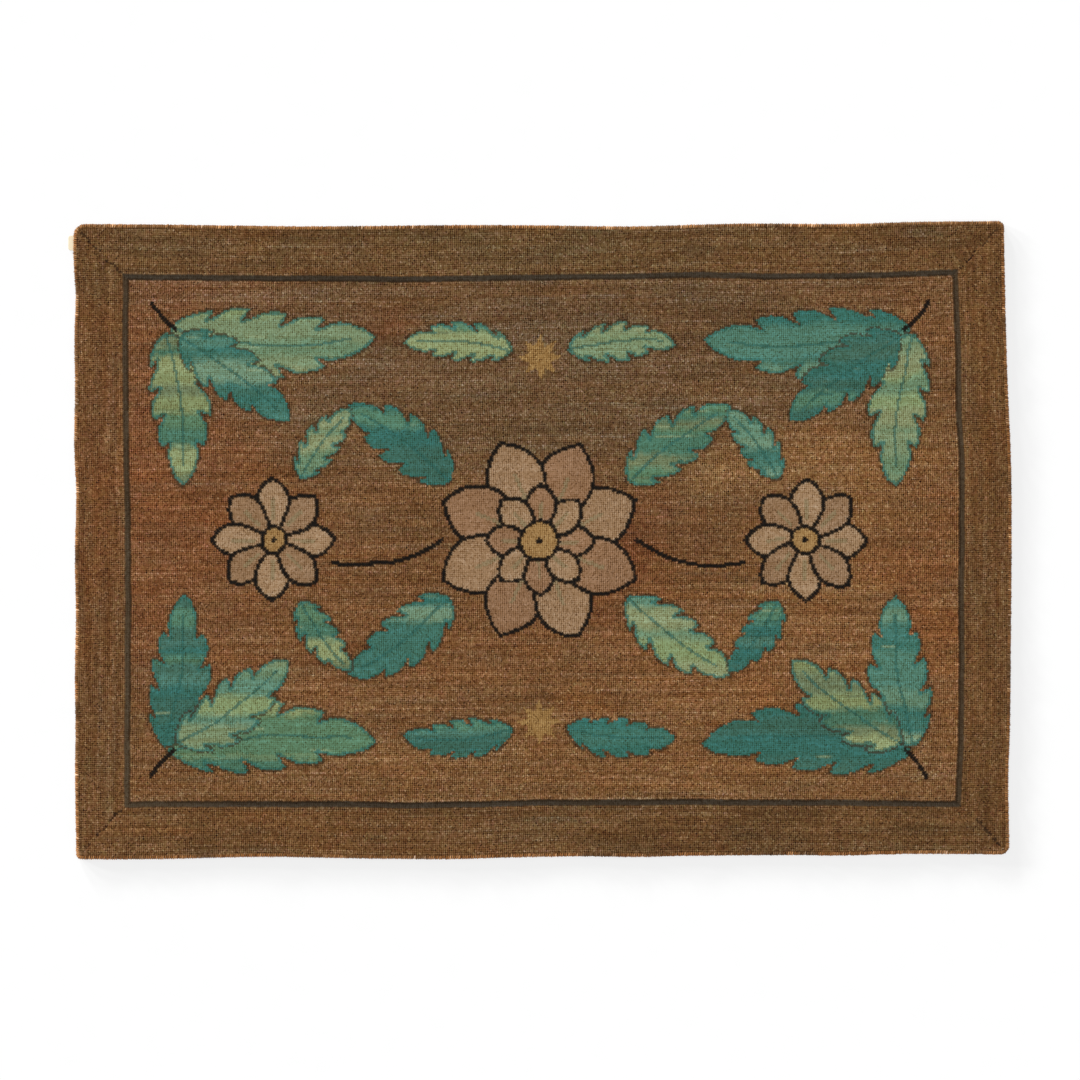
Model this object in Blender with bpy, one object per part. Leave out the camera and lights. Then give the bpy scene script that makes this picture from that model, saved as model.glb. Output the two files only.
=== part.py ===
"""A hooked rug lying flat: one hooked mat and a tape tab sewn under its left edge.

Metres, +Z up. +X is the photo's right and +Y its top. The origin is the middle
of the footprint, on the surface that the rug lies on.
"""
import math
from collections import namedtuple
from functools import partial
from itertools import pairwise

import bmesh
import bpy
from mathutils import Vector

MM = 0.001

# Driving dimensions of the mat
HALF_WIDTH = 501.0 * MM
HALF_HEIGHT = 339.0 * MM
THICKNESS = 5.2 * MM
GRID_STEP = 20.0 * MM

# How far each edge strays outward from the plain rectangle, in mm.
# Columns: place along the edge, stray outward.
TOP_EDGE = (
    (-501, -0.6), (-420, -1.1), (-340, -2.1), (-240, -3.1), (-100, -1.8), (0, -2.0), (90, -3.2),
    (150, -1.7), (220, 0.0), (320, -0.5), (400, 1.8), (460, 2.4), (501, 2.8),
)
BOTTOM_EDGE = (
    (-501, 4.2), (-420, 4.1), (-300, 1.6), (-200, 3.2), (-100, 4.0), (-20, 1.8), (50, 1.0),
    (100, 1.7), (150, 0.5), (280, -0.4), (310, 0.2), (400, -1.6), (501, -1.0),
)
LEFT_EDGE = (
    (-339, -0.9), (-260, 0.6), (-200, 0.1), (-140, 0.7), (-80, -0.4), (-20, 0.9), (50, -0.7),
    (100, 1.6), (160, 0.6), (220, 1.3), (262, -0.2), (300, 2.4), (339, 2.0),
)
RIGHT_EDGE = (
    (-339, 0.2), (-300, -0.2), (-260, -1.0), (-200, 1.0), (-120, 1.8), (-40, 2.5), (60, 2.5),
    (110, 1.0), (160, -1.4), (240, -3.8), (300, -5.0), (339, -5.8),
)

# Corner radii, named by the photo's sides
ROUND_TOP_LEFT = 12.0 * MM
ROUND_TOP_RIGHT = 6.5 * MM
ROUND_BOTTOM_RIGHT = 9.0 * MM
ROUND_BOTTOM_LEFT = 5.5 * MM

# The dark line between border and field: its middle, as a place on the other axis, in mm.
# Columns: place along the line, distance of the line from the rug's middle.
LINE_TOP = (
    (-446, 282.3), (-320, 280.4), (-160, 279.2), (0, 281.2), (120, 282.6), (170, 284.2),
    (240, 282.5), (360, 284.2), (443, 286.8),
)
LINE_BOTTOM = (
    (-446, 285.3), (-320, 283.4), (-200, 284.7), (-80, 283.8), (40, 282.8), (160, 281.8),
    (280, 281.9), (400, 283.4), (446, 282.8),
)
LINE_LEFT = (
    (-285, 446.0), (-200, 445.1), (-140, 445.8), (-60, 445.0), (30, 444.6), (90, 446.7),
    (150, 447.5), (282, 447.6),
)
LINE_RIGHT = (
    (-283, 446.6), (-220, 448.5), (-120, 450.2), (0, 450.2), (90, 449.9), (150, 447.6),
    (220, 445.6), (286, 442.6),
)
LINE_WIDTH = 6.2 * MM
LINE_DEPTH = 0.5 * MM

Side = namedtuple(
    "Side", "level sign half_across length edge line first_round last_round"
)
BOTTOM = Side(
    True, -1, HALF_HEIGHT, 2 * HALF_WIDTH, BOTTOM_EDGE, LINE_BOTTOM,
    ROUND_BOTTOM_LEFT, ROUND_BOTTOM_RIGHT,
)
RIGHT = Side(
    False, 1, HALF_WIDTH, 2 * HALF_HEIGHT, RIGHT_EDGE, LINE_RIGHT,
    ROUND_BOTTOM_RIGHT, ROUND_TOP_RIGHT,
)
TOP = Side(
    True, 1, HALF_HEIGHT, 2 * HALF_WIDTH, TOP_EDGE, LINE_TOP,
    ROUND_TOP_RIGHT, ROUND_TOP_LEFT,
)
LEFT = Side(
    False, -1, HALF_WIDTH, 2 * HALF_HEIGHT, LEFT_EDGE, LINE_LEFT,
    ROUND_TOP_LEFT, ROUND_BOTTOM_LEFT,
)
SIDES = (BOTTOM, RIGHT, TOP, LEFT)
CROSSING_ROUNDS = 5
WITHIN_ROUND = 0.99

# The rounded rim, from the top of the pile down to the flat underside.
# Columns: distance in from the outline, share of the pile's height.
RIM_PROFILE = (
    (4.0 * MM, 1.0),
    (1.8 * MM, 0.94),
    (0.5 * MM, 0.77),
    (0.0 * MM, 0.46),
    (0.3 * MM, 0.19),
    (1.5 * MM, 0.0),
)

# Rings of the border between the dark line and the rim, as shares of the way out
BORDER_STEPS = (0.3, 0.65)
MITRE_DEPTH = 0.6 * MM

# Slow waves of the pile's height. Columns: amplitude, waves along X, waves along Y, phase.
PILE_WAVES = (
    (0.13 * MM, 2.3, 0.7, 0.4),
    (0.10 * MM, -1.1, 2.6, 1.9),
    (0.08 * MM, 5.2, 1.9, 3.1),
)

# The tape tab and the slot it lies in
TAPE_WIDTH = 15.8 * MM
TAPE_LENGTH = 32.0 * MM
TAPE_THICKNESS = 0.8 * MM
TAPE_SHOWS = 6.2 * MM
TAPE_MIDDLE_Y = 318.6 * MM
TAPE_UPPER_ROUND = 1.6 * MM
TAPE_LOWER_ROUND = 3.4 * MM
ARC_SEGMENTS = 4
CLEARANCE = 0.3 * MM
SLOT_OVERRUN = 12.0 * MM

# Faces with at least this many corners are split into triangles
MANY_SIDED = 5

# Looks of the plain solids, in linear colour
PILE_BROWN = (0.150, 0.079, 0.034)
PILE_ROUGHNESS = 0.92
TAPE_CREAM = (0.863, 0.738, 0.527)
TAPE_ROUGHNESS = 0.85
SHARP_ANGLE = math.radians(35.0)


def clear_scene():
    """Remove whatever the file holds already."""
    for obj in list(bpy.data.objects):
        bpy.data.objects.remove(obj, do_unlink=True)


def principled(name, colour, roughness, metallic=0.0):
    """A plain Principled material. The colour is linear."""
    material = bpy.data.materials.new(name)
    material.use_nodes = True
    shader = material.node_tree.nodes["Principled BSDF"]
    shader.inputs["Base Color"].default_value = (*colour, 1.0)
    shader.inputs["Roughness"].default_value = roughness
    shader.inputs["Metallic"].default_value = metallic
    return material


def reading(table, place):
    """Read a table of (place, value) in mm at a place in metres, on a smooth curve."""
    where = min(max(place / MM, table[0][0]), table[-1][0])
    row = next(index for index, (_, end) in enumerate(pairwise(table)) if where <= end[0])
    before = table[max(row - 1, 0)]
    start, end = table[row], table[row + 1]
    after = table[min(row + 2, len(table) - 1)]
    span = end[0] - start[0]
    part = (where - start[0]) / span
    leaving = (end[1] - before[1]) / (end[0] - before[0]) * span
    arriving = (after[1] - start[1]) / (after[0] - start[0]) * span
    rise = part * part * (3.0 - 2.0 * part)
    value = start[1] + (end[1] - start[1]) * rise
    value += leaving * part * (1.0 - part) ** 2
    value -= arriving * part * part * (1.0 - part)
    return value * MM


def edge_course(side, place):
    """How far the uneven edge lies from the rug's middle, at a place along its side."""
    return side.half_across + reading(side.edge, place)


def line_course(side, place, offset):
    """How far the dark line lies from the rug's middle, with an offset outward."""
    return reading(side.line, place) + offset


def side_point(side, course, place):
    """A point of a side's course, at a place along the side."""
    far = side.sign * course(side, place)
    return Vector((place, far)) if side.level else Vector((far, place))


def crossing(level_side, upright_side, course):
    """The sharp corner where the courses of two sides meet."""
    point = Vector((0.0, 0.0))
    for _ in range(CROSSING_ROUNDS):
        point.x = side_point(upright_side, course, point.y).x
        point.y = side_point(level_side, course, point.x).y
    return point


def stations(side):
    """Shares of a side's length: close together at the rounded corners, even between them."""
    inner = side.length - side.first_round - side.last_round
    count = round(inner / GRID_STEP)
    distances = [0.0, side.first_round / 2]
    distances += [side.first_round + inner * step / count for step in range(count + 1)]
    distances += [side.length - side.last_round / 2, side.length]
    return [distance / side.length for distance in distances]


def on_arc(corner, along, inward, share, radius):
    """A point on half of a rounded corner, from its middle (share 0) to its end (share 1)."""
    centre = corner + (along + inward) * radius
    angle = math.radians(45.0) * (1.0 + share)
    return centre - along * radius * math.cos(angle) - inward * radius * math.sin(angle)


def course_ring(course, rounded=False):
    """A closed run of points along a course, anticlockwise from the lower left corner."""
    corners = [
        crossing(BOTTOM, LEFT, course),
        crossing(BOTTOM, RIGHT, course),
        crossing(TOP, RIGHT, course),
        crossing(TOP, LEFT, course),
    ]
    ring = []
    for index, side in enumerate(SIDES):
        start, end = corners[index], corners[(index + 1) % len(corners)]
        along = (end - start).normalized()
        inward = Vector((-along.y, along.x))
        for share in stations(side)[:-1]:
            plain = start.lerp(end, share)
            from_start = share * side.length / side.first_round
            to_end = (1.0 - share) * side.length / side.last_round
            if rounded and from_start < WITHIN_ROUND:
                ring.append(on_arc(start, along, inward, from_start, side.first_round))
            elif rounded and to_end < WITHIN_ROUND:
                ring.append(on_arc(end, -along, inward, to_end, side.last_round))
            else:
                ring.append(side_point(side, course, plain.x if side.level else plain.y))
    return ring


def pile_height(point):
    """Height of the pile at a point, with its slow waves."""
    height = THICKNESS
    for amplitude, across, up, phase in PILE_WAVES:
        turn = across * point.x / HALF_WIDTH + up * point.y / HALF_HEIGHT
        height += amplitude * math.sin(math.pi * turn + phase)
    return height


def ring_sides(ring, columns, rows):
    """The four sides of a ring: bottom and top run along +X, left and right along +Y."""
    bottom = ring[:columns + 1]
    right = ring[columns:columns + rows + 1]
    top = ring[columns + rows:2 * columns + rows + 1][::-1]
    left = (ring[2 * columns + rows:] + ring[:1])[::-1]
    return bottom, right, top, left


def field_point(sides, column, row):
    """A point inside the dark line, blended from the four sides of its ring."""
    bottom, right, top, left = sides
    u = (bottom[column].x - bottom[0].x) / (bottom[-1].x - bottom[0].x)
    v = (left[row].y - left[0].y) / (left[-1].y - left[0].y)
    across = left[row].lerp(right[row], u)
    upward = bottom[column].lerp(top[column], v)
    plain = bottom[0].lerp(bottom[-1], u).lerp(top[0].lerp(top[-1], u), v)
    return across + upward - plain


def ring_index(column, row, columns, rows):
    """Place of a field grid's edge point on the ring, or None for an inner point."""
    if row == 0:
        return column
    if column == columns:
        return columns + row
    if row == rows:
        return 2 * columns + rows - column
    if column == 0:
        return 2 * (columns + rows) - row
    return None


def make_field(mesh, ring, columns, rows):
    """The field inside the dark line, as a grid. Its edge points know their place on the ring."""
    place = mesh.verts.layers.int.new("ring_place")
    sides = ring_sides(ring, columns, rows)
    bmesh.ops.create_grid(mesh, x_segments=columns, y_segments=rows, size=1.0)
    for vert in mesh.verts:
        column = round((vert.co.x + 1.0) / 2.0 * columns)
        row = round((vert.co.y + 1.0) / 2.0 * rows)
        index = ring_index(column, row, columns, rows)
        if index is not None:
            vert[place] = index
        point = field_point(sides, column, row)
        vert.co = (*point, pile_height(point))


def grow_ring(mesh, ring, heights):
    """Extrude the mesh's open edge outward to the next ring."""
    place = mesh.verts.layers.int["ring_place"]
    rim = [edge for edge in mesh.edges if edge.is_boundary]
    grown = bmesh.ops.extrude_edge_only(mesh, edges=rim)["geom"]
    for vert in grown:
        if isinstance(vert, bmesh.types.BMVert):
            index = vert[place]
            vert.co = (*ring[index], heights[index])


def toward(outer, inner, distance):
    """Points a set distance in from the outer ring, on the way to the inner one."""
    points = []
    for start, end in zip(outer, inner, strict=True):
        points.append(start + (end - start).normalized() * distance)
    return points


def border_heights(ring, corners):
    """Heights of a ring of the border's pile, lower on the mitre lines."""
    heights = [pile_height(point) for point in ring]
    for index in corners:
        heights[index] -= MITRE_DEPTH
    return heights


def close_underside(mesh):
    """Close the flat underside with one face."""
    rim = [edge for edge in mesh.edges if edge.is_boundary]
    bmesh.ops.contextual_create(mesh, geom=rim)


def build_mat(material):
    """The hooked mat as one closed solid."""
    columns = len(stations(BOTTOM)) - 1
    rows = len(stations(LEFT)) - 1
    corners = (0, columns, columns + rows, 2 * columns + rows)
    outline = course_ring(edge_course, rounded=True)
    line_inner = course_ring(partial(line_course, offset=-LINE_WIDTH / 2))
    line_middle = course_ring(partial(line_course, offset=0.0))
    line_outer = course_ring(partial(line_course, offset=LINE_WIDTH / 2))
    mesh = bmesh.new()
    make_field(mesh, line_inner, columns, rows)
    grow_ring(mesh, line_middle, [pile_height(point) - LINE_DEPTH for point in line_middle])
    grow_ring(mesh, line_outer, border_heights(line_outer, corners))
    pile_edge = toward(outline, line_outer, RIM_PROFILE[0][0])
    for step in BORDER_STEPS:
        ring = [inner.lerp(outer, step) for inner, outer in zip(line_outer, pile_edge, strict=True)]
        grow_ring(mesh, ring, border_heights(ring, corners))
    for inset, share in RIM_PROFILE:
        ring = toward(outline, line_outer, inset)
        grow_ring(mesh, ring, [pile_height(point) * share for point in ring])
    close_underside(mesh)
    bmesh.ops.recalc_face_normals(mesh, faces=mesh.faces)
    return as_object(mesh, "hooked_mat", material)


def as_object(mesh, name, material):
    """Turn a bmesh into an object with one material."""
    data = bpy.data.meshes.new(name)
    mesh.to_mesh(data)
    mesh.free()
    data.materials.append(material)
    obj = bpy.data.objects.new(name, data)
    bpy.context.collection.objects.link(obj)
    return obj


def tape_outline():
    """The tape's outline seen from above, with its two outer corners rounded."""
    edge_x = -HALF_WIDTH - reading(LEFT_EDGE, TAPE_MIDDLE_Y)
    outer_x = edge_x - TAPE_SHOWS
    inner_x = outer_x + TAPE_LENGTH
    upper_y = TAPE_MIDDLE_Y + TAPE_WIDTH / 2
    lower_y = TAPE_MIDDLE_Y - TAPE_WIDTH / 2
    points = [Vector((inner_x, lower_y)), Vector((inner_x, upper_y))]
    for corner_y, radius, first_turn in (
        (upper_y - TAPE_UPPER_ROUND, TAPE_UPPER_ROUND, 90.0),
        (lower_y + TAPE_LOWER_ROUND, TAPE_LOWER_ROUND, 180.0),
    ):
        centre = Vector((outer_x + radius, corner_y))
        for step in range(ARC_SEGMENTS + 1):
            turn = math.radians(first_turn + 90.0 * step / ARC_SEGMENTS)
            points.append(centre + Vector((math.cos(turn), math.sin(turn))) * radius)
    return points


def build_tape(material):
    """The tape tab: its outline, extruded up to the tape's thickness."""
    mesh = bmesh.new()
    ring = [mesh.verts.new((point.x, point.y, 0.0)) for point in tape_outline()]
    base = mesh.faces.new(ring)
    grown = bmesh.ops.extrude_face_region(mesh, geom=[base])["geom"]
    raised = [item for item in grown if isinstance(item, bmesh.types.BMVert)]
    bmesh.ops.translate(mesh, verts=raised, vec=(0.0, 0.0, TAPE_THICKNESS))
    bmesh.ops.recalc_face_normals(mesh, faces=mesh.faces)
    return as_object(mesh, "tape_tab", material)


def cut_slot(mat, tape):
    """Cut the shallow slot under the mat's left edge that the tape lies in."""
    corners = [Vector(corner) for corner in tape.bound_box]
    low = Vector([min(values) for values in zip(*corners, strict=True)])
    high = Vector([max(values) for values in zip(*corners, strict=True)])
    low -= Vector((SLOT_OVERRUN, CLEARANCE, SLOT_OVERRUN))
    high += Vector((CLEARANCE, CLEARANCE, CLEARANCE))
    mesh = bmesh.new()
    bmesh.ops.create_cube(mesh, size=1.0)
    for vert in mesh.verts:
        share = vert.co + Vector((0.5, 0.5, 0.5))
        vert.co = low + Vector([a * b for a, b in zip(share, high - low, strict=True)])
    cutter = as_object(mesh, "slot_cutter", mat.data.materials[0])
    cutter.hide_render = True
    cutter.display_type = "WIRE"
    cut = mat.modifiers.new("tape slot", "BOOLEAN")
    cut.object = cutter
    cut.operation = "DIFFERENCE"
    cut.solver = "EXACT"
    return cutter


def split_underside(mat):
    """Split the many-sided faces of the flat underside into well-shaped triangles."""
    split = mat.modifiers.new("underside triangles", "TRIANGULATE")
    split.min_vertices = MANY_SIDED
    split.ngon_method = "BEAUTY"


def shade(obj):
    """Smooth shading that keeps the edges of the slot and the tape crisp."""
    obj.data.shade_smooth()
    obj.data.set_sharp_from_angle(angle=SHARP_ANGLE)


def centre_on_footprint(pieces, followers):
    """Parent every piece to an empty that puts the footprint's middle on the origin."""
    corners = [Vector(corner) for piece in pieces for corner in piece.bound_box]
    middle_x = (min(corner.x for corner in corners) + max(corner.x for corner in corners)) / 2
    middle_y = (min(corner.y for corner in corners) + max(corner.y for corner in corners)) / 2
    origin = bpy.data.objects.new("rug_place", None)
    bpy.context.collection.objects.link(origin)
    origin.location = (-middle_x, -middle_y, 0.0)
    for piece in (*pieces, *followers):
        piece.parent = origin


def main():
    """Build the rug."""
    clear_scene()
    brown_pile = principled("brown_hooked_pile", PILE_BROWN, PILE_ROUGHNESS)
    cream_tape = principled("cream_cotton_tape", TAPE_CREAM, TAPE_ROUGHNESS)
    mat = build_mat(brown_pile)
    tape = build_tape(cream_tape)
    cutter = cut_slot(mat, tape)
    split_underside(mat)
    shade(mat)
    shade(tape)
    centre_on_footprint((mat, tape), (cutter,))


main()
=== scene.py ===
# %% [markdown]
# # A hooked rug, built loop by loop
#
# The real rug is one piece of jute hessian. Narrow strips of dyed cloth are pulled up through it with
# a hook, one loop to each opening of the weave, until the loops stand shoulder to shoulder.
# This lesson makes the pile as real geometry: every loop is a small raised point of a mesh with a
# colour of its own, so the rug keeps its grain from any side.
# The imported solid gives the rug's outline and thickness, and nothing here changes them.

# %% Load the frame
import math

import bpy
import numpy as np
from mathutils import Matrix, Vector
from mathutils.bvhtree import BVHTree


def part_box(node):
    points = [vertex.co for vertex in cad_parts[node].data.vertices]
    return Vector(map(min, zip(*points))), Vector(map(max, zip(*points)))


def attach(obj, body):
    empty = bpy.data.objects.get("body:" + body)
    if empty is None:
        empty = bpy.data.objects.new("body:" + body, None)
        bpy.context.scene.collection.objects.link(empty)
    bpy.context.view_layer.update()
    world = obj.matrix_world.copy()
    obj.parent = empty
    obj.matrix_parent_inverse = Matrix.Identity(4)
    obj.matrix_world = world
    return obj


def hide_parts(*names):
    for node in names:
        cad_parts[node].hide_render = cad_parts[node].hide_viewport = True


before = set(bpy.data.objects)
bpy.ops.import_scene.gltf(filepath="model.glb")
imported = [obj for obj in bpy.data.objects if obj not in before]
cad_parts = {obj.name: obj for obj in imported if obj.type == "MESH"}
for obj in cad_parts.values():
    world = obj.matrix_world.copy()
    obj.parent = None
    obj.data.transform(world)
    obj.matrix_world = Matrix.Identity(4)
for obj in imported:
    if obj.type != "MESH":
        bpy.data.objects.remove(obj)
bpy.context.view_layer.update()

# Sizes are in mm, and are turned to metres where Blender gets them
MM = 0.001
# Keeps divisors away from zero
TINY = 1e-12
random = np.random.default_rng(seed=1931)
mat_low, mat_high = (np.array(corner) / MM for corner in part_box("hooked_mat"))
mat_middle = (mat_low + mat_high) / 2
mat_size = mat_high - mat_low
print("mat", np.round(mat_size, 1), "mm")

# %% [markdown]
# ## Colour
#
# Dyed cloth is easiest to judge as the hex value that a picture shows. Blender mixes light in linear
# values, so one function turns every hex value to linear before it is used.

# %% Hex to linear
def linear(code):
    """An sRGB hex value as linear red, green and blue."""
    parts = np.array([int(code[place:place + 2], 16) for place in (1, 3, 5)]) / 255
    return np.where(parts <= 0.04045, parts / 12.92, ((parts + 0.055) / 1.055) ** 2.4)


# Worn cloth turns paler and greyer at once, so blue changes most with tone and red least.
# The painted shade between loops turns the same way.
TONE = np.array((0.78, 1.05, 1.5))


def toned(colour, tone):
    """Make a colour paler where tone is above 0, and deeper where it is below."""
    return colour * np.exp(np.asarray(tone)[..., None] * TONE)


def mix(first, second, share):
    """Blend two colours or two fields of colour. share is 0 for the first and 1 for the second."""
    share = np.asarray(share)[..., None]
    return first * (1 - share) + second * share

# %% [markdown]
# ## Hand-made unevenness
#
# Nothing on a hooked rug repeats exactly. A hand that pulls thousands of loops drifts slowly, so most
# of the unevenness is smooth: patches of a few centimetres, not grains. A coarse grid of random
# numbers with soft steps between them gives that, and its reach is stated in millimetres.

# %% Smooth random patches
NOISE_CELLS = 256
NOISE_SPREAD = 0.7


def ease(share):
    """A soft step from 0 to 1."""
    return share ** 2 * (3 - 2 * share)


def soft_noise(x, y, reach_x, reach_y, seed):
    """Smooth random values, mostly from -1 to 1, in patches of about the given reach in mm.

    The seed picks the pattern.
    """
    grid = np.random.default_rng(seed).normal(0, NOISE_SPREAD, (NOISE_CELLS, NOISE_CELLS))
    u = x / reach_x + NOISE_CELLS / 2
    v = y / reach_y + NOISE_CELLS / 2
    column = np.floor(u).astype(int)
    row = np.floor(v).astype(int)
    corner = [[grid[(row + up) % NOISE_CELLS, (column + over) % NOISE_CELLS]
               for over in (0, 1)] for up in (0, 1)]
    low, high = (left + (right - left) * ease(u - column) for left, right in corner)
    return low + (high - low) * ease(v - row)


def layered_noise(x, y, layers, seed):
    """Add layers of soft noise. Columns of layers: amount, reach along x and y in mm."""
    return sum(amount * soft_noise(x, y, reach_x, reach_y, seed + number)
               for number, (amount, reach_x, reach_y) in enumerate(layers))

# %% [markdown]
# ## The mat's outline, read from the solid
#
# The edges of the real rug wander by a few millimetres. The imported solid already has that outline, so
# it isn't typed in again. Rays are shot at the solid's widest height from outside, and what they hit
# is the edge. The rounded corners are left out here and are made by a formula further down.

# %% Shoot rays at the solid's rim
# The height at which the mat is widest, and how far from its corners the readings stop
EDGE_Z = 2.4
CORNER_REACH = 16
EDGE_READINGS = 120
# Where the rays start, well outside the mat
FAR = 900

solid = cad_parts["hooked_mat"].data
solid_tree = BVHTree.FromPolygons(
    [vert.co / MM for vert in solid.vertices],
    [tuple(face.vertices) for face in solid.polygons],
)


def edge_course(level, sign):
    """One edge of the mat: places along the side, and how far out the edge lies at each."""
    side = 0 if level else 1
    half = mat_size[side] / 2 - CORNER_REACH
    places = mat_middle[side] + np.linspace(-half, half, EDGE_READINGS)
    out = []
    for place in places:
        start = Vector((place, sign * FAR, EDGE_Z)) if level else Vector((sign * FAR, place, EDGE_Z))
        heading = Vector((0, -sign, 0)) if level else Vector((-sign, 0, 0))
        hit = solid_tree.ray_cast(start, heading)[0]
        out.append(hit.y if level else hit.x)
    return places, np.array(out)


top_edge = edge_course(True, 1)
bottom_edge = edge_course(True, -1)
left_edge = edge_course(False, -1)
right_edge = edge_course(False, 1)
print("left edge wanders over", round(float(np.ptp(left_edge[1])), 1), "mm")

# %% [markdown]
# ## Where the dark line runs
#
# Three rows of nearly black strips part the border from the field. A hooked line follows the threads
# of the hessian, and where the hessian was pulled, the line wavers with it. Its course is a short
# table for each side, as a distance from the mat's middle.

# %% The dark line's course
# Columns: place along the line, distance of its middle from the mat's middle, in mm
LINE_TOP = (
    (-446, 283.0), (-320, 281.1), (-160, 279.9), (0, 281.9), (120, 283.3), (170, 284.9),
    (240, 283.2), (360, 284.9), (443, 287.5),
)
LINE_BOTTOM = (
    (-446, 284.6), (-320, 282.7), (-200, 284.0), (-80, 283.1), (40, 282.1), (160, 281.1),
    (280, 281.2), (400, 282.7), (446, 282.1),
)
LINE_LEFT = (
    (-285, 446.1), (-200, 445.2), (-140, 445.9), (-60, 445.1), (30, 444.7), (90, 446.8),
    (150, 447.6), (282, 447.7),
)
LINE_RIGHT = (
    (-283, 446.5), (-220, 448.4), (-120, 450.1), (0, 450.1), (90, 449.8), (150, 447.5),
    (220, 445.5), (286, 442.5),
)


def line_course(table, side, sign):
    """One stretch of the dark line as places and how far out it lies, in the frame."""
    places, out = np.array(table, float).T
    return places + mat_middle[1 - side], mat_middle[side] + sign * out


top_line = line_course(LINE_TOP, 1, 1)
bottom_line = line_course(LINE_BOTTOM, 1, -1)
left_line = line_course(LINE_LEFT, 0, -1)
right_line = line_course(LINE_RIGHT, 0, 1)

# %% [markdown]
# ## The lattice of loops
#
# Hessian for such rugs has 10 to 12 threads an inch, and each opening holds one loop, so the loops lie
# about 2.27 mm apart. The whole rug is then a lattice of 444 by 302 loops. Each lattice place is
# mapped to the rug: edge to edge across, with the dark line always 24.5 loops in from the edge.
# Near the corners the square lattice is pressed into the rounded outline.

# %% Map lattice places to the rug
LOOPS_ACROSS = 444
LOOPS_UP = 302
BORDER_LOOPS = 24.5
PITCH = mat_size[0] / LOOPS_ACROSS
# Each round reads the edges again, at the place that the last one gave
MAPPING_ROUNDS = 4
# Columns: sign of X, sign of Y, corner radius in mm
CORNERS = ((-1, 1, 12.0), (1, 1, 6.5), (1, -1, 9.0), (-1, -1, 5.5))


def between(place, count, courses):
    """Spread lattice places between four courses: edge, line, line and edge."""
    marks = np.array([0, BORDER_LOOPS, count - BORDER_LOOPS, count])
    span = np.clip(np.searchsorted(marks, place, side="right") - 1, 0, len(courses) - 2)
    share = (place - marks[span]) / (marks[span + 1] - marks[span])
    low = np.choose(span, courses[:-1])
    high = np.choose(span, courses[1:])
    return low + (high - low) * share


def round_corners(x, y):
    """Press points near the four corners into the rounded outline."""
    for sign_x, sign_y, radius in CORNERS:
        edge_x = right_edge if sign_x > 0 else left_edge
        edge_y = top_edge if sign_y > 0 else bottom_edge
        corner_x = edge_x[1][-1 if sign_y > 0 else 0]
        corner_y = edge_y[1][-1 if sign_x > 0 else 0]
        over_x = np.maximum((x - corner_x) * sign_x + radius, 0)
        over_y = np.maximum((y - corner_y) * sign_y + radius, 0)
        reach = np.maximum(np.hypot(over_x, over_y), TINY)
        pull = 1 - np.maximum(over_x, over_y) / reach
        both = (over_x > 0) & (over_y > 0)
        x = np.where(both, x - sign_x * over_x * pull, x)
        y = np.where(both, y - sign_y * over_y * pull, y)
    return x, y


def rug_place(across, up):
    """Where lattice places lie on the rug, in mm."""
    x = (across / LOOPS_ACROSS - 0.5) * mat_size[0] + mat_middle[0]
    y = (up / LOOPS_UP - 0.5) * mat_size[1] + mat_middle[1]
    for _ in range(MAPPING_ROUNDS):
        level = [np.interp(y, *course) for course in (left_edge, left_line, right_line, right_edge)]
        upright = [np.interp(x, *course) for course in (bottom_edge, bottom_line, top_line, top_edge)]
        x = between(across, LOOPS_ACROSS, level)
        y = between(up, LOOPS_UP, upright)
    return round_corners(x, y)


columns, rows = np.meshgrid(np.arange(LOOPS_ACROSS), np.arange(LOOPS_UP))
loop_x, loop_y = rug_place(columns + 0.5, rows + 0.5)
print(columns.size, "loops,", round(PITCH, 2), "mm apart")

# %% [markdown]
# ## Which loops belong to what
#
# Counting rings of loops in from the edge sorts the lattice: border, three rings of dark line, field.
# In the two side borders the hooker turned the work, so there the rows run up instead of across.
# The border's corners are mitred where the two ways of hooking meet.

# %% Sort the loops
# The first and the last of the dark line's three rings
LINE_RINGS = (23, 25)

ring_x = np.minimum(columns, LOOPS_ACROSS - 1 - columns)
ring_y = np.minimum(rows, LOOPS_UP - 1 - rows)
ring = np.minimum(ring_x, ring_y)
is_border = ring < LINE_RINGS[0]
is_line = (ring >= LINE_RINGS[0]) & (ring <= LINE_RINGS[1])
is_field = ring > LINE_RINGS[1]
is_side = ~is_field & (ring_x < ring_y)
print("field", int(is_field.sum()), "border", int(is_border.sum()), "line", int(is_line.sum()))
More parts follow.
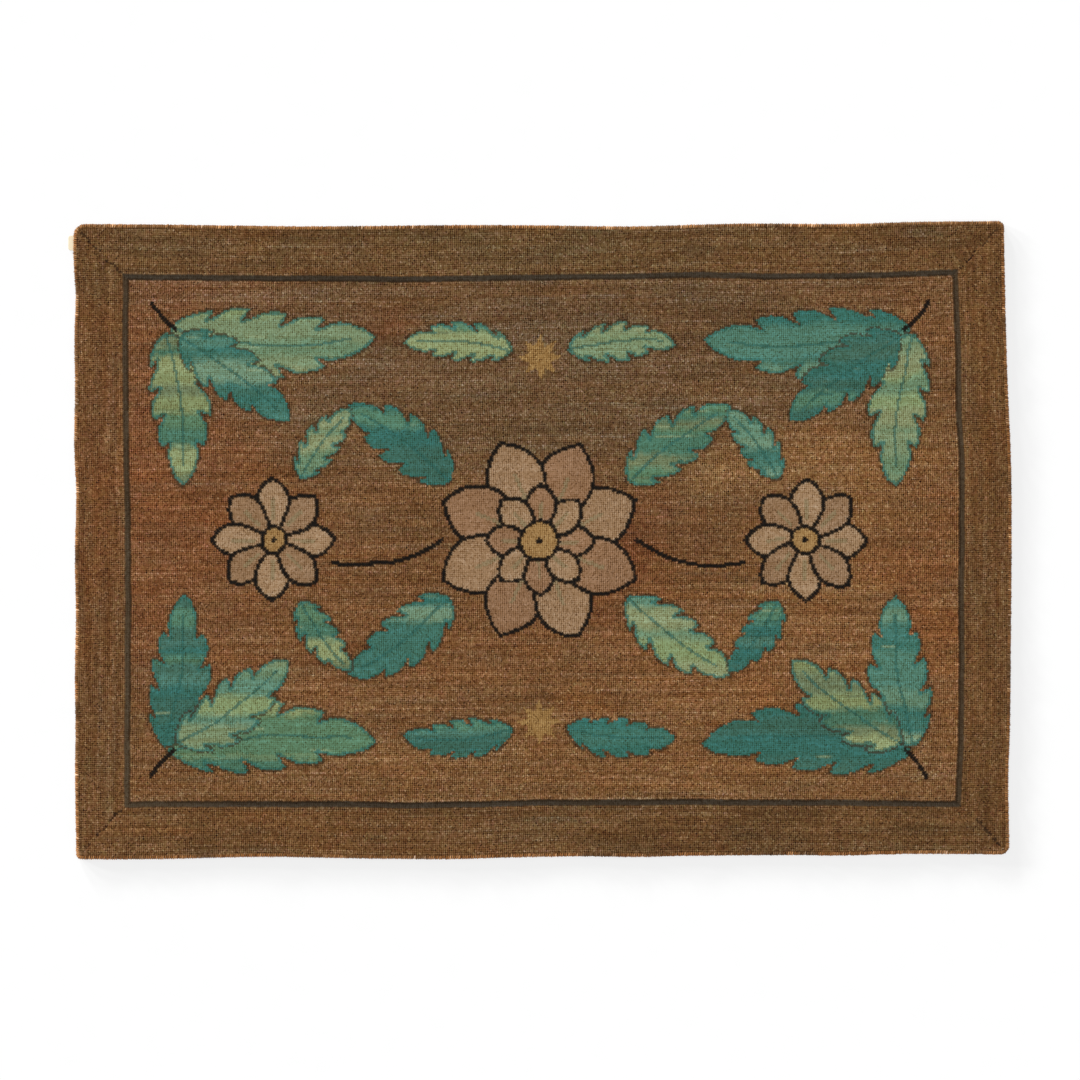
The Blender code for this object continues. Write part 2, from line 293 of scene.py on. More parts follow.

# %% [markdown]
# ## The heathered brown ground
#
# The brown isn't one dye. The maker used up many strips, each a little lighter, redder or greener, and
# each strip fills a run of some 10 to 60 loops before the next one starts. Single loops differ too,
# as the cloth twists when it is pulled up. So a loop's colour is a broad patch colour, changed by its
# strip and then by itself. The patches are listed: places, reach, colour and strength.

# %% Broad patches of the ground
# Columns: x and y of the middle, reach along x and y (mm), colour, strength
FIELD_PATCHES = (
    (-40, 215, 430, 90, "#66503a", 0.8),
    (-400, 130, 90, 190, "#7a5034", 0.8),
    (405, 215, 60, 90, "#745235", 0.8),
    (310, 82, 150, 34, "#88633f", 0.9),
    (60, 120, 260, 60, "#64503a", 0.6),
    (-370, 0, 150, 75, "#764b2e", 0.5),
    (170, 262, 110, 40, "#5f4932", 0.6),
    (190, 70, 70, 30, "#83623e", 0.6),
    (65, -25, 75, 60, "#6a3a20", 0.75),
    (-60, 10, 60, 40, "#6d4a30", 0.5),
    (350, -25, 140, 80, "#7e5b39", 0.7),
    (-190, -110, 210, 70, "#7b5333", 0.6),
    (240, -150, 190, 90, "#835b38", 0.7),
    (-160, 235, 28, 20, "#6a3d22", 0.5),
    (0, -250, 460, 60, "#7b5938", 0.5),
    (420, -55, 45, 95, "#7a4a2a", 0.5),
    (-420, -110, 60, 60, "#74472a", 0.4),
)
BORDER_PATCHES = (
    (0, 315, 260, 40, "#654f34", 0.8),
    (-474, 60, 40, 220, "#704a2e", 0.7),
    (-474, 290, 60, 60, "#684f33", 0.6),
    (474, 0, 40, 260, "#694a2d", 0.6),
    (250, -315, 260, 40, "#5d442a", 0.8),
    (-300, -315, 200, 40, "#6d4d2f", 0.6),
)
FIELD_BROWN = "#705236"
BORDER_BROWN = "#684c30"
# How far the patches' edges wander along x and y, and over what reach
WANDER_X = 22
WANDER_Y = 14
WANDER_REACH = (45, 30)


def loop_noise(reach_x, reach_y, seed):
    """Soft noise at every loop."""
    return soft_noise(loop_x, loop_y, reach_x, reach_y, seed)


def patched(base, patches):
    """A field of colour: the base, with soft patches laid over it."""
    colour = np.broadcast_to(linear(base), loop_x.shape + (3,))
    wander_x = loop_x + WANDER_X * loop_noise(*WANDER_REACH, 11)
    wander_y = loop_y + WANDER_Y * loop_noise(*WANDER_REACH, 12)
    for x, y, reach_x, reach_y, code, strength in patches:
        away = ((wander_x - x) / reach_x) ** 2 + ((wander_y - y) / reach_y) ** 2
        colour = mix(colour, linear(code), strength * np.exp(-away))
    return colour


ground = np.where(is_field[..., None], patched(FIELD_BROWN, FIELD_PATCHES),
                  patched(BORDER_BROWN, BORDER_PATCHES))
print("patches:", len(FIELD_PATCHES), "in the field,", len(BORDER_PATCHES), "in the border")

# %% Strips and single loops
# The run of one strip has at least the first number of loops, and fewer than the second
SHORTEST_RUN = 9
RUN_LIMIT = 64
# How much the strips differ
STRIP_SPREAD = 0.8
# A few strips stand out more from the rest: a low value makes more of them.
# No strip or loop goes further than the limit.
ODD_STRIPS = 5
ODDEST = 2.2
# Greener loops gather in small clumps: how much, and their reach
CLUMP_SHARE = 0.7
CLUMP_REACH = 7


def strip_runs(shape):
    """One random value for each hooked strip, over the run of loops that it fills in its row."""
    values = np.empty(shape)
    for row in values:
        lengths = random.integers(SHORTEST_RUN, RUN_LIMIT, shape[1] // SHORTEST_RUN + 1)
        odd = np.clip(STRIP_SPREAD * random.standard_t(ODD_STRIPS, len(lengths)), -ODDEST, ODDEST)
        row[:] = np.repeat(odd, lengths)[:shape[1]]
    return values


def run_field():
    """Strip values for the whole rug: rows across, but rows up in the side borders."""
    across = strip_runs(loop_x.shape)
    up = strip_runs(loop_x.shape[::-1]).T
    return np.where(is_side, up, across)


strip_tone = run_field()
strip_hue = run_field()
loop_tone = np.clip(random.normal(size=loop_x.shape), -ODDEST, ODDEST)
loop_hue = random.normal(size=loop_x.shape)
loop_green = random.normal(size=loop_x.shape) + CLUMP_SHARE * loop_noise(CLUMP_REACH, CLUMP_REACH, 29)

# %% Streaks along the rows
# Columns: length along the row and height across it (mm), seed
STREAK = (70, 5, 21)
THIN_STREAK = (150, 2.4, 27)
WARM_STREAK = (60, 6, 25)
# Columns: reach along x and y (mm), seed
BLOTCH = (16, 11, 23)
CLOUD = (34, 24, 24)


def along_rows(length, height, seed):
    """Smooth streaks that follow the rows: level, but upright in the side borders."""
    return np.where(is_side, loop_noise(height, length, seed + 1), loop_noise(length, height, seed))


def weighed(parts):
    """Add up fields, each times its weight."""
    return sum(weight * field for weight, field in parts)


blotch = loop_noise(*BLOTCH)
ground_tone = weighed((
    (0.8, strip_tone), (0.5, along_rows(*STREAK)), (0.5, along_rows(*THIN_STREAK)), (0.3, blotch),
))
ground_warmth = weighed((
    (0.4, strip_hue), (0.15, loop_hue), (0.4, blotch), (0.7, loop_noise(*CLOUD)),
    (0.8, along_rows(*WARM_STREAK)),
))

# %% Heather the ground
# What a warmer strip takes from blue for each part that red gains, and how much green varies by itself
BLUE_TURN = 1.3
GREEN_TURN = 0.9


def heathered(colour, strip, single, hue):
    """Vary a colour by strip and by loop. The three amounts are shares of the colour."""
    warm = hue * ground_warmth
    turned = colour * np.stack([1 + warm, 1 + GREEN_TURN * hue * loop_green, 1 - BLUE_TURN * warm], axis=-1)
    return toned(np.clip(turned, 0, None), strip * ground_tone + single * loop_tone)


dye_and_painted_shade = heathered(ground, strip=0.17, single=0.25, hue=0.05)
# How far a loop stands out from its neighbours: 1 in the ground, and less where hooking is closer
relief = np.ones(loop_x.shape)
print("mean ground", np.round(dye_and_painted_shade[is_field].mean(0), 3))

# %% [markdown]
# ## Drawing with loops
#
# A motif is drawn on the hessian as an outline, and every opening inside it gets a loop of the motif's
# colour. So shapes are closed outlines in millimetres, and a loop asks how far it is from the outline.
# The loops' own places give the stepped edges that hooked shapes have. A little noise in the places
# makes the drawing as unsure as a hand.

# %% Distance from outlines
# How far the hand strays from the drawing, and over what reach
STRAY = 1.5
STRAY_REACH = 30
DRAWN_MARGIN = 6

drawn_x = loop_x + STRAY * loop_noise(STRAY_REACH, STRAY_REACH, 31)
drawn_y = loop_y + STRAY * loop_noise(STRAY_REACH, STRAY_REACH, 32)


def near(points):
    """The field's loops in a box round some points, as row and column numbers."""
    low = points.min(axis=0) - DRAWN_MARGIN
    high = points.max(axis=0) + DRAWN_MARGIN
    inside_x = (drawn_x > low[0]) & (drawn_x < high[0])
    inside_y = (drawn_y > low[1]) & (drawn_y < high[1])
    return np.nonzero(inside_x & inside_y & is_field)


def path_distance(picked, points):
    """Distance from the picked loops to an open path."""
    x, y = drawn_x[picked], drawn_y[picked]
    best = np.full(x.shape, np.inf)
    for start, end in zip(points[:-1], points[1:], strict=True):
        along = end - start
        reach = max(along @ along, TINY)
        share = np.clip(((x - start[0]) * along[0] + (y - start[1]) * along[1]) / reach, 0, 1)
        away = np.hypot(x - start[0] - share * along[0], y - start[1] - share * along[1])
        best = np.minimum(best, away)
    return best


def outline_distance(picked, points):
    """Distance from the picked loops to a closed outline, negative inside it."""
    x, y = drawn_x[picked], drawn_y[picked]
    closed = np.vstack([points, points[:1]])
    inside = np.zeros(x.shape, bool)
    for start, end in zip(closed[:-1], closed[1:], strict=True):
        if start[1] == end[1]:
            continue
        spans = (start[1] > y) != (end[1] > y)
        crossing = start[0] + (y - start[1]) * (end[0] - start[0]) / (end[1] - start[1])
        inside ^= spans & (x < crossing)
    away = path_distance(picked, closed)
    return np.where(inside, -away, away)

# %% Hook a colour into some loops
def dyed(code, tone):
    """A hex dye as a linear colour, made paler or deeper."""
    return toned(linear(code), tone)


def hook_in(picked, inside, colour, height):
    """Give those of the picked loops that are inside a shape its colour and relief."""
    dye_and_painted_shade[picked] = np.where(inside[:, None], colour, dye_and_painted_shade[picked])
    relief[picked] = np.where(inside, height, relief[picked])

# %% [markdown]
# ## Leaves
#
# Each leaf grows along a curved midrib. Its half-width swells and closes like a sine, and teeth that
# point to the tip are cut into it. Leaves are hooked in level rows like the ground, from strips of
# uneven teal and sage, so bands of colour lie across them whatever way the leaf points. A row of
# darker teal follows the edge, and a thin broken brown line lies outside it.

# %% The shape of a leaf
RIB_POINTS = 41
LEAF_LOBES = 4
# The last lobe is longer than the others, the notches lean back, and the base has a stalk's width
TIP_SHARE = 1.3
LOBE_DEPTH = 0.40
NOTCH_BACK = 0.035
STALK_SHARE = 0.03
# A power under 1 moves the widest place towards the base, and one makes the whole leaf fuller
LEAF_LEAN = 0.8
LEAF_FULLNESS = 0.65
# Columns: place along one lobe, share of the lobe's depth that is cut away there
LOBE_EDGE = ((0.10, 0.62), (0.30, 0.28), (0.55, 0.08), (0.80, 0.0), (1.0, 0.10))


def midrib(start, heading, length, bend):
    """Points along a curved midrib, and its heading at each. Heading and bend are in degrees."""
    share = np.linspace(0, 1, RIB_POINTS)
    turn = np.radians(heading + bend * (2 * share - 1))
    steps = np.stack([np.cos(turn), np.sin(turn)], axis=1) * length / (RIB_POINTS - 1)
    points = np.vstack([[0, 0], np.cumsum(steps[1:], axis=0)])
    return np.array(start) + points, turn


def leaf_side():
    """Half-widths of a lobed leaf from base to tip, as rows of share along and share of width."""
    side = [(0.0, STALK_SHARE)]
    lobe_length = 1 / (LEAF_LOBES + TIP_SHARE)
    for lobe in range(LEAF_LOBES + 1):
        first = lobe * lobe_length
        reach = lobe_length if lobe < LEAF_LOBES else 1 - first
        for part, cut in LOBE_EDGE:
            along = first + reach * part
            envelope = math.sin(math.pi * along ** LEAF_LEAN) ** LEAF_FULLNESS if along < 1 else 0.0
            side.append((along, envelope * (1 - LOBE_DEPTH * cut)))
        if lobe < LEAF_LOBES:
            side.append((along - NOTCH_BACK, envelope * (1 - LOBE_DEPTH)))
    return np.array(side)


def leaf_outline(rib, turn, width, side):
    """A closed outline: one side up the rib, and the other side back down."""
    share = np.linspace(0, 1, len(rib))
    points = np.stack([np.interp(side[:, 0], share, rib[:, axis]) for axis in (0, 1)], axis=1)
    angle = np.interp(side[:, 0], share, turn)
    across = np.stack([-np.sin(angle), np.cos(angle)], axis=1) * side[:, 1:] * width / 2
    return np.vstack([points + across, (points - across)[::-1]])

# %% The colours of a leaf
LEAF_DYES = {
    "deep": ("#41665a", "#35665f", "#487064", "#3a6258", "#527a66"),
    "sea": ("#376a62", "#4e786a", "#6d8a74", "#406e64", "#60826e"),
    "sage": ("#77896a", "#7f9068", "#688368", "#838c69", "#5d8270"),
    "moss": ("#7c875e", "#6a775a", "#57795f", "#8a956c", "#49715f"),
}
# A band has at least the first number of rows, and fewer than the second
BAND_ROWS = (1, 12)
# Columns: how far the joins wave in rows, reach along x and y (mm)
BAND_WAVES = ((1.6, 38, 60), (0.8, 9, 5))
# Each join is blurred by so many rows
BAND_BLUR = (-1.2, 0, 1.2)
# Thin odd strips: reach in mm along and in rows across, and how sharply they start
THIN_REACH = (34, 0.8)
THIN_EDGE = 2.5
# Columns: how rare such strips are, and their greatest strength
DARK_STRIPS = (1.1, 0.75)
PALE_STRIPS = (1.2, 0.5)
DARK_SHARE = 0.75
PALE_SAGE = "#93a07c"


def bands(picked, dyes, seed):
    """Level bands of the leaf's dyes, with soft, slightly wavy joins, for some picked loops."""
    draw = np.random.default_rng(seed)
    x, y = loop_x[picked], loop_y[picked]
    level = rows[picked] + layered_noise(x, y, BAND_WAVES, seed)
    ends = np.cumsum(draw.integers(*BAND_ROWS, LOOPS_UP))
    choice = draw.integers(0, len(dyes), LOOPS_UP + 1)
    palette = np.array([linear(code) for code in dyes])
    joins = [palette[choice[np.searchsorted(ends, level + shift)]] for shift in BAND_BLUR]
    thin = soft_noise(x, rows[picked].astype(float), *THIN_REACH, seed + 2)
    darker = np.clip((thin - DARK_STRIPS[0]) * THIN_EDGE, 0, DARK_STRIPS[1])
    paler = np.clip((-thin - PALE_STRIPS[0]) * THIN_EDGE, 0, PALE_STRIPS[1])
    colour = mix(sum(joins) / len(joins), linear(dyes[1]) * DARK_SHARE, darker)
    return mix(colour, linear(PALE_SAGE), paler)

# %% Hook one leaf
# Columns: colour, how far from the outline it reaches (mm), strength
LEAF_EDGE = ("#30655e", 2.6, 0.8)
LEAF_LINE = ("#3a2a1b", 2.1, 0.8)
# The share of its loops that the broken line keeps
LINE_KEPT = 0.8
# The vein is deeper than the edge. It ends before the tip.
VEIN_DEPTH = 0.8
VEIN_REACH = 1.3
VEIN_STRENGTH = 0.75
VEIN_POINTS = 36
# How much strips and single loops differ in a leaf
LEAF_STRIPS = 0.07
LEAF_LOOPS = 0.09
LEAF_RELIEF = 0.55


def hook_leaf(start, heading, length, width, bend, dyes, seed):
    """Colour the loops of one leaf."""
    rib, turn = midrib(start, heading, length, bend)
    outline = leaf_outline(rib, turn, width, leaf_side())
    picked = near(outline)
    away = outline_distance(picked, outline)
    edge_code, edge_reach, edge_strength = LEAF_EDGE
    line_code, line_reach, line_strength = LEAF_LINE
    colour = bands(picked, LEAF_DYES[dyes], seed)
    colour = mix(colour, linear(edge_code), np.where(away > -edge_reach, edge_strength, 0))
    is_vein = path_distance(picked, rib[:VEIN_POINTS]) < VEIN_REACH
    colour = mix(colour, linear(edge_code) * VEIN_DEPTH, np.where(is_vein, VEIN_STRENGTH, 0))
    colour = toned(colour, LEAF_STRIPS * strip_tone[picked] + LEAF_LOOPS * loop_tone[picked])
    outside = (away >= 0) & (away < line_reach) & (random.random(away.shape) < LINE_KEPT)
    hook_in(picked, away < 0, colour, LEAF_RELIEF)
    lined = mix(dye_and_painted_shade[picked], linear(line_code), line_strength)
    dye_and_painted_shade[picked] = np.where(outside[:, None], lined, dye_and_painted_shade[picked])

# %% Place the leaves
# One corner's leaves; the other corners mirror them.
# Columns: x and y of the base (mm), heading, length, width, bend, dyes
CORNER_LEAVES = (
    (398, 228, 183, 225, 76, -13, "sea"),
    (402, 222, -97, 165, 66, 10, "sage"),
    (388, 218, 217, 150, 62, 9, "deep"),
    (96, 62, 37, 138, 60, -10, "moss"),
    (256, 66, 126, 92, 42, 12, "sea"),
    (30, 203, 4, 118, 44, -14, "sage"),
)
MIRRORS = ((1, 1), (-1, 1), (-1, -1), (1, -1))
DYE_ORDER = tuple(LEAF_DYES)
FIRST_LEAF_SEED = 400
SEEDS_PER_LEAF = 10


def mirrored(x, y, heading, bend, sign_x, sign_y):
    """A place, a heading and a bend, mirrored into one of the four corners."""
    turned = heading if sign_x > 0 else 180 - heading
    turned = turned if sign_y > 0 else -turned
    return (x * sign_x, y * sign_y), turned, bend * sign_x * sign_y


leaf_seed = FIRST_LEAF_SEED
for corner, signs in enumerate(MIRRORS):
    for x, y, heading, length, width, bend, dyes in CORNER_LEAVES:
        start, turned, curl = mirrored(x, y, heading, bend, *signs)
        swapped = DYE_ORDER[(DYE_ORDER.index(dyes) + corner) % len(DYE_ORDER)]
        hook_leaf(start, turned, length, width, curl, swapped, leaf_seed)
        leaf_seed += SEEDS_PER_LEAF
print("leaves hooked:", len(MIRRORS) * len(CORNER_LEAVES))

# %% [markdown]
# ## Stems and blossoms
#
# Blossoms are round flowers of eight petals. Each petal is a leaf shape without teeth and is rounder
# at its tip. They are hooked in faded beige and pinkish tan, and each petal has a bold black outline
# two loops wide, which is what makes a hooked drawing read from across a room. Petals are laid down
# one after another, so that each overlaps the one before.

# %% Stems
BLACK_STRIP = "#15100b"
STEM_WIDTH = 4.6
# How much single loops differ in a stem
STEM_LOOPS = 0.15
STEM_RELIEF = 0.8
# Columns: x and y of the start (mm), heading, length, bend
STEMS = (
    (104, 0, -12, 122, 24),
    (392, 226, 48, 38, 10),
)


def hook_stem(points):
    """Colour the loops along a stem."""
    picked = near(points)
    inside = path_distance(picked, points) < STEM_WIDTH / 2
    hook_in(picked, inside, dyed(BLACK_STRIP, STEM_LOOPS * loop_tone[picked]), STEM_RELIEF)


for sign_x, sign_y in MIRRORS:
    for x, y, heading, length, bend in STEMS:
        # A stem that starts on the middle line has no twin below it
        if y == 0 and sign_y < 0:
            continue
        start, turned, curl = mirrored(x, y, heading, bend, sign_x, sign_y)
        path, _ = midrib(start, turned, length, curl)
        hook_stem(path)

# %% One petal
PETAL_MARK = "#7f7358"
# The black outline's width inside and outside the drawn edge
OUTLINE_IN = 2.6
OUTLINE_OUT = 1.7
BLACK_LOOPS = 0.18
PETAL_BEND = 3
PETAL_POINTS = 15
# Powers that move the widest place towards the tip and make the petal fuller, and its width at the base
PETAL_LEAN = 1.5
PETAL_FULLNESS = 0.8
PETAL_BASE = 0.06
# Columns: amount, reach along x and y (mm)
PETAL_TINTS = ((0.06, 60, 4), (0.05, 25, 25))
PETAL_STRIPS = 0.05
PETAL_LOOPS = 0.10
# The mark lies along the middle of the petal
MARK_POINTS = slice(14, 27)
MARK_REACH = 2.0
MARK_STRENGTH = 0.7
BLOSSOM_RELIEF = 0.65


def petal_side():
    """Half-widths of a petal from base to tip, as rows of share along and share of width."""
    share = np.linspace(0, 1, PETAL_POINTS)
    swell = np.sin(np.pi * share ** PETAL_LEAN) ** PETAL_FULLNESS
    return np.stack([share, swell * (1 - PETAL_BASE) + PETAL_BASE * (1 - share)], axis=1)


def hook_outlined(picked, away, is_black, fill):
    """Colour the loops of a shape and of its black outline."""
    black = dyed(BLACK_STRIP, BLACK_LOOPS * loop_tone[picked])
    hook_in(picked, away < OUTLINE_OUT, np.where(is_black[:, None], black, fill), BLOSSOM_RELIEF)


def hook_petal(middle, turn, length, width, code, seed):
    """Colour the loops of one petal."""
    rib, angle = midrib(middle, turn, length, PETAL_BEND)
    outline = leaf_outline(rib, angle, width, petal_side())
    picked = near(outline)
    away = outline_distance(picked, outline)
    tint = layered_noise(loop_x[picked], loop_y[picked], PETAL_TINTS, seed)
    fill = dyed(code, tint + PETAL_STRIPS * strip_tone[picked] + PETAL_LOOPS * loop_tone[picked])
    is_mark = path_distance(picked, rib[MARK_POINTS]) < MARK_REACH
    fill = mix(fill, linear(PETAL_MARK), np.where(is_mark, MARK_STRENGTH, 0))
    hook_outlined(picked, away, away > -OUTLINE_IN, fill)

# %% Blossoms
PETAL_DYES = ("#93765b", "#8c6b51", "#977b60", "#8a6d53")
# At 2 the petals would just touch at this share of the radius, and a higher value makes them overlap
PETAL_OVERLAP = 2.35
WIDEST_SHARE = 0.62
FIRST_PETAL_SEED = 600
SEEDS_PER_BLOSSOM = 20
# Columns: x, y of the middle, radius, petals, turn in degrees, first petal dye
BLOSSOMS = (
    (0, 0, 112, 8, 22.5, 0),
    (0, 0, 60, 8, 0, 1),
    (286, 0, 66, 8, 0, 2),
    (-286, 0, 66, 8, 0, 2),
)

for number, (x, y, radius, petals, turn, first) in enumerate(BLOSSOMS):
    petal_width = PETAL_OVERLAP * math.pi * radius * WIDEST_SHARE / petals
    for petal in range(petals):
        code = PETAL_DYES[(first + petal % 2) % len(PETAL_DYES)]
        heading = turn + 360 * petal / petals
        seed = FIRST_PETAL_SEED + SEEDS_PER_BLOSSOM * number + petal
        hook_petal((x, y), heading, radius, petal_width, code, seed)

# %% Eyes of the blossoms, and small gold stars
EYE_DYE = "#94744a"
EYE_POINTS = 32
EYE_TINTS = ((0.08, 12, 4),)
EYE_LOOPS = 0.1
# Radius of the dark dot
EYE_DOT = 3.2
# Columns: x of the middle, radius (mm)
EYES = ((0, 21), (286, 15), (-286, 15))
FIRST_EYE_SEED = 700
STAR_DYE = "#8f7045"
STAR_POINTS = 8
# How far out the notches lie, as a share of the radius
STAR_NOTCH = 0.5
STAR_STRIPS = 0.05
STAR_LOOPS = 0.13
STAR_RELIEF = 0.8
# Columns: x and y of the middle, outer radius (mm)
STARS = ((0, 196, 25), (0, -196, 25))


def round_outline(middle, reaches):
    """A closed outline round a middle, from how far out each of its points lies."""
    turn = np.linspace(0, 2 * np.pi, len(reaches) + 1)[:-1]
    return np.array(middle) + reaches[:, None] * np.stack([np.cos(turn), np.sin(turn)], axis=1)


def hook_eye(middle, radius, seed):
    """The blossom's round eye: gold, with a black ring and a dark dot."""
    outline = round_outline(middle, np.full(EYE_POINTS, radius))
    picked = near(outline)
    away = outline_distance(picked, outline)
    tint = layered_noise(loop_x[picked], loop_y[picked], EYE_TINTS, seed)
    gold = dyed(EYE_DYE, tint + EYE_LOOPS * loop_tone[picked])
    hook_outlined(picked, away, (away > -OUTLINE_IN) | (away < EYE_DOT - radius), gold)


def hook_star(middle, radius):
    """A gold star without an outline."""
    reaches = np.tile([radius, radius * STAR_NOTCH], STAR_POINTS)
    outline = round_outline(middle, reaches)
    picked = near(outline)
    gold = dyed(STAR_DYE, STAR_LOOPS * loop_tone[picked] + STAR_STRIPS * strip_tone[picked])
    hook_in(picked, outline_distance(picked, outline) < 0, gold, STAR_RELIEF)


for number, (x, radius) in enumerate(EYES):
    hook_eye((x, 0), radius, FIRST_EYE_SEED + number)
for x, y, radius in STARS:
    hook_star((x, y), radius)
print("blossoms:", len(EYES), "stars:", len(STARS))

# %% [markdown]
# ## Dark line and mitres
#
# The line is hooked from nearly black strips, close and even. At the mitres the rows of the two
# borders end against each other, so there is a thin gap, broken here and there, with painted shade in
# it. Both are loops of the same lattice, so they are coloured and lowered in place and need no pieces
# of their own.

# %% Colour the dark line
LINE_DYE = "#3c3227"
LINE_DYE_SIDE = "#433526"
LINE_DYE_LEFT = "#4d3f2f"
# Towards the left and the bottom the line is paler: where that starts, and over what distance
PALER_X = (-300, 200)
PALER_Y = (200, 300)
# The inner ring is darker, but for some stretches
LINE_INNER_TONE = -0.75
INNER_REACH = 12
INNER_BREAKS = -0.5
LINE_STRIPS = 0.08
LINE_LOOPS = 0.12
LINE_RELIEF = 0.45

leftness = np.clip((PALER_X[0] - loop_x) / PALER_X[1], 0, 1)
leftness *= np.clip((PALER_Y[0] - loop_y) / PALER_Y[1], 0, 1)
line_colour = mix(linear(LINE_DYE), linear(LINE_DYE_SIDE), is_side)
line_colour = mix(line_colour, linear(LINE_DYE_LEFT), leftness)
is_inner = (ring == LINE_RINGS[1]) & (loop_noise(INNER_REACH, INNER_REACH, 42) > INNER_BREAKS)
line_tone = LINE_STRIPS * strip_tone + LINE_LOOPS * loop_tone + np.where(is_inner, LINE_INNER_TONE, 0)
dye_and_painted_shade = np.where(is_line[..., None], toned(line_colour, line_tone), dye_and_painted_shade)
relief = np.where(is_line, LINE_RELIEF, relief)
print("inner ring:", int(is_inner.sum()), "darker loops")

# %% Lower the mitres and paint shade into them
# Painted shade in the mitre's gap: its colour, how strongly it is mixed in, and the share of loops without
# it
MITRE_SHADE = "#2a1c10"
MITRE_STRENGTH = 0.9
MITRE_BREAKS = 0.22
# How far the mitre strays, in loops, and over what reach in mm
MITRE_STRAY = 0.9
MITRE_REACH = 7
# Half its width in loops, and what a blot adds to that
MITRE_WIDTH = 0.55
BLOT_WIDTH = 0.6
BLOT_REACH = 4.5
# How much fainter the mitre is a border's width away from its clearest place
MITRE_FADE = 0.7
# The outermost rings of loops show no mitre
PLAIN_RINGS = 2
# Columns: corner as signs of X and Y, how clearly the mitre shows, where most, from 0 at the line to 1
MITRES = ((-1, 1, 1.15, 0.4), (1, 1, 1.2, 0.25), (1, -1, 1.1, 0.8), (-1, -1, 1.1, 0.25))

mitre_drop = np.zeros(loop_x.shape)
lean = ring_x - ring_y + 0.5 + MITRE_STRAY * loop_noise(MITRE_REACH, MITRE_REACH, 43)
blots = loop_noise(BLOT_REACH, BLOT_REACH, 41)
is_narrow = np.abs(lean) < MITRE_WIDTH + BLOT_WIDTH * np.clip(blots, 0, 1)
for sign_x, sign_y, strength, clearest in MITRES:
    here = (np.sign(columns - LOOPS_ACROSS / 2) == sign_x) & (np.sign(rows - LOOPS_UP / 2) == sign_y)
    clear = strength * (1 - MITRE_FADE * np.abs(1 - ring / LINE_RINGS[0] - clearest))
    unbroken = random.random(loop_x.shape) > MITRE_BREAKS
    shown = here & is_border & unbroken & is_narrow & (ring > PLAIN_RINGS) & (blots > -clear)
    print("mitre", sign_x, sign_y, int(shown.sum()), "loops")
    mitre_drop[shown] = clear[shown]
    # The mitre's loops get painted shade
    dye_and_painted_shade[shown] = mix(dye_and_painted_shade[shown], linear(MITRE_SHADE), MITRE_STRENGTH * clear[shown])

# %% [markdown]
# ## From loops to a mesh
#
# Every loop gives one raised point. Between two loops of a row, and between two rows, lies one lower
# point each. The lower points between neighbours in a row are deep where the strip dives through the
# hessian, and those between rows are shallow, because the rows lean on each other. That is why the
# pile shows ribs. Three points a loop make six triangles a loop.

# %% Heights of the loops
# How unevenly high single loops stand
LOOP_JITTER = 0.16
# Low swells in the pile, and their reach
SWELL = 0.12
SWELL_REACH = 9
# How deep the gap is at a mitre
MITRE_DROP = 0.9
# Where the rays start, above the mat
ABOVE = 20


def pile_top(x, y):
    """The solid's upper surface above a place, in mm."""
    hit = solid_tree.ray_cast(Vector((x, y, ABOVE)), Vector((0, 0, -1)))[0]
    return hit.z if hit else EDGE_Z


loop_z = np.array([pile_top(x, y) for x, y in zip(loop_x.flat, loop_y.flat, strict=True)])
loop_z = loop_z.reshape(loop_x.shape)
loop_z += LOOP_JITTER * random.normal(size=loop_x.shape) * relief
loop_z += SWELL * loop_noise(SWELL_REACH, SWELL_REACH, 51) - MITRE_DROP * mitre_drop
print("pile top from", round(float(loop_z.min()), 2), "to", round(float(loop_z.max()), 2), "mm")

# %% The low points between loops
# Depth of a rib's groove, depth between loops that lean on each other, and what is left of it where
# the hooking is close
DEEP = 1.35
SHALLOW = 0.55
CLOSE_DEPTH = 0.35
# How far the ribs run up the rug: 1 is up, 0 is across, and the share fades in and out in patches
RIBS_UP = 0.76
RIBS_UP_SIDE = 0.42
RIB_FADE = 0.28
FADE_REACH = 40

upright = np.where(is_side, RIBS_UP_SIDE, RIBS_UP) + RIB_FADE * loop_noise(FADE_REACH, FADE_REACH, 52)
upright = np.clip(upright, 0, 1)


def pair_mean(values, axis):
    """Mean of each loop and its neighbour along an axis, with the outermost repeated."""
    widths = [(0, 0)] * values.ndim
    widths[axis] = (1, 1)
    wide = np.pad(values, widths, mode="edge")
    first = np.take(wide, range(wide.shape[axis] - 1), axis)
    second = np.take(wide, range(1, wide.shape[axis]), axis)
    return (first + second) / 2


def low_heights(axis):
    """Heights of the low points between neighbours along an axis."""
    rib = pair_mean(upright if axis == 1 else 1 - upright, axis)
    depth = SHALLOW + (DEEP - SHALLOW) * rib
    depth *= CLOSE_DEPTH + (1 - CLOSE_DEPTH) * pair_mean(relief, axis)
    return pair_mean(loop_z, axis) - depth


beside_z = low_heights(1)
above_z = low_heights(0)
beside_z[:, [0, -1]] = EDGE_Z
above_z[[0, -1], :] = EDGE_Z

# %% Points of the whole pile
HAND_JITTER = 0.28
# A point strays at most this many times the jitter, so that hardly any triangle folds over
FURTHEST = 1.5
# Columns: reach of the drift, how far it shifts a point (mm)
DRIFTS = ((70, 0.55), (22, 0.33))
DRIFT_SEED_X = 61
DRIFT_SEED_Y = 65
# The shifts grow from nothing at the edge to their full size this many loops in
HELD_LOOPS = 2


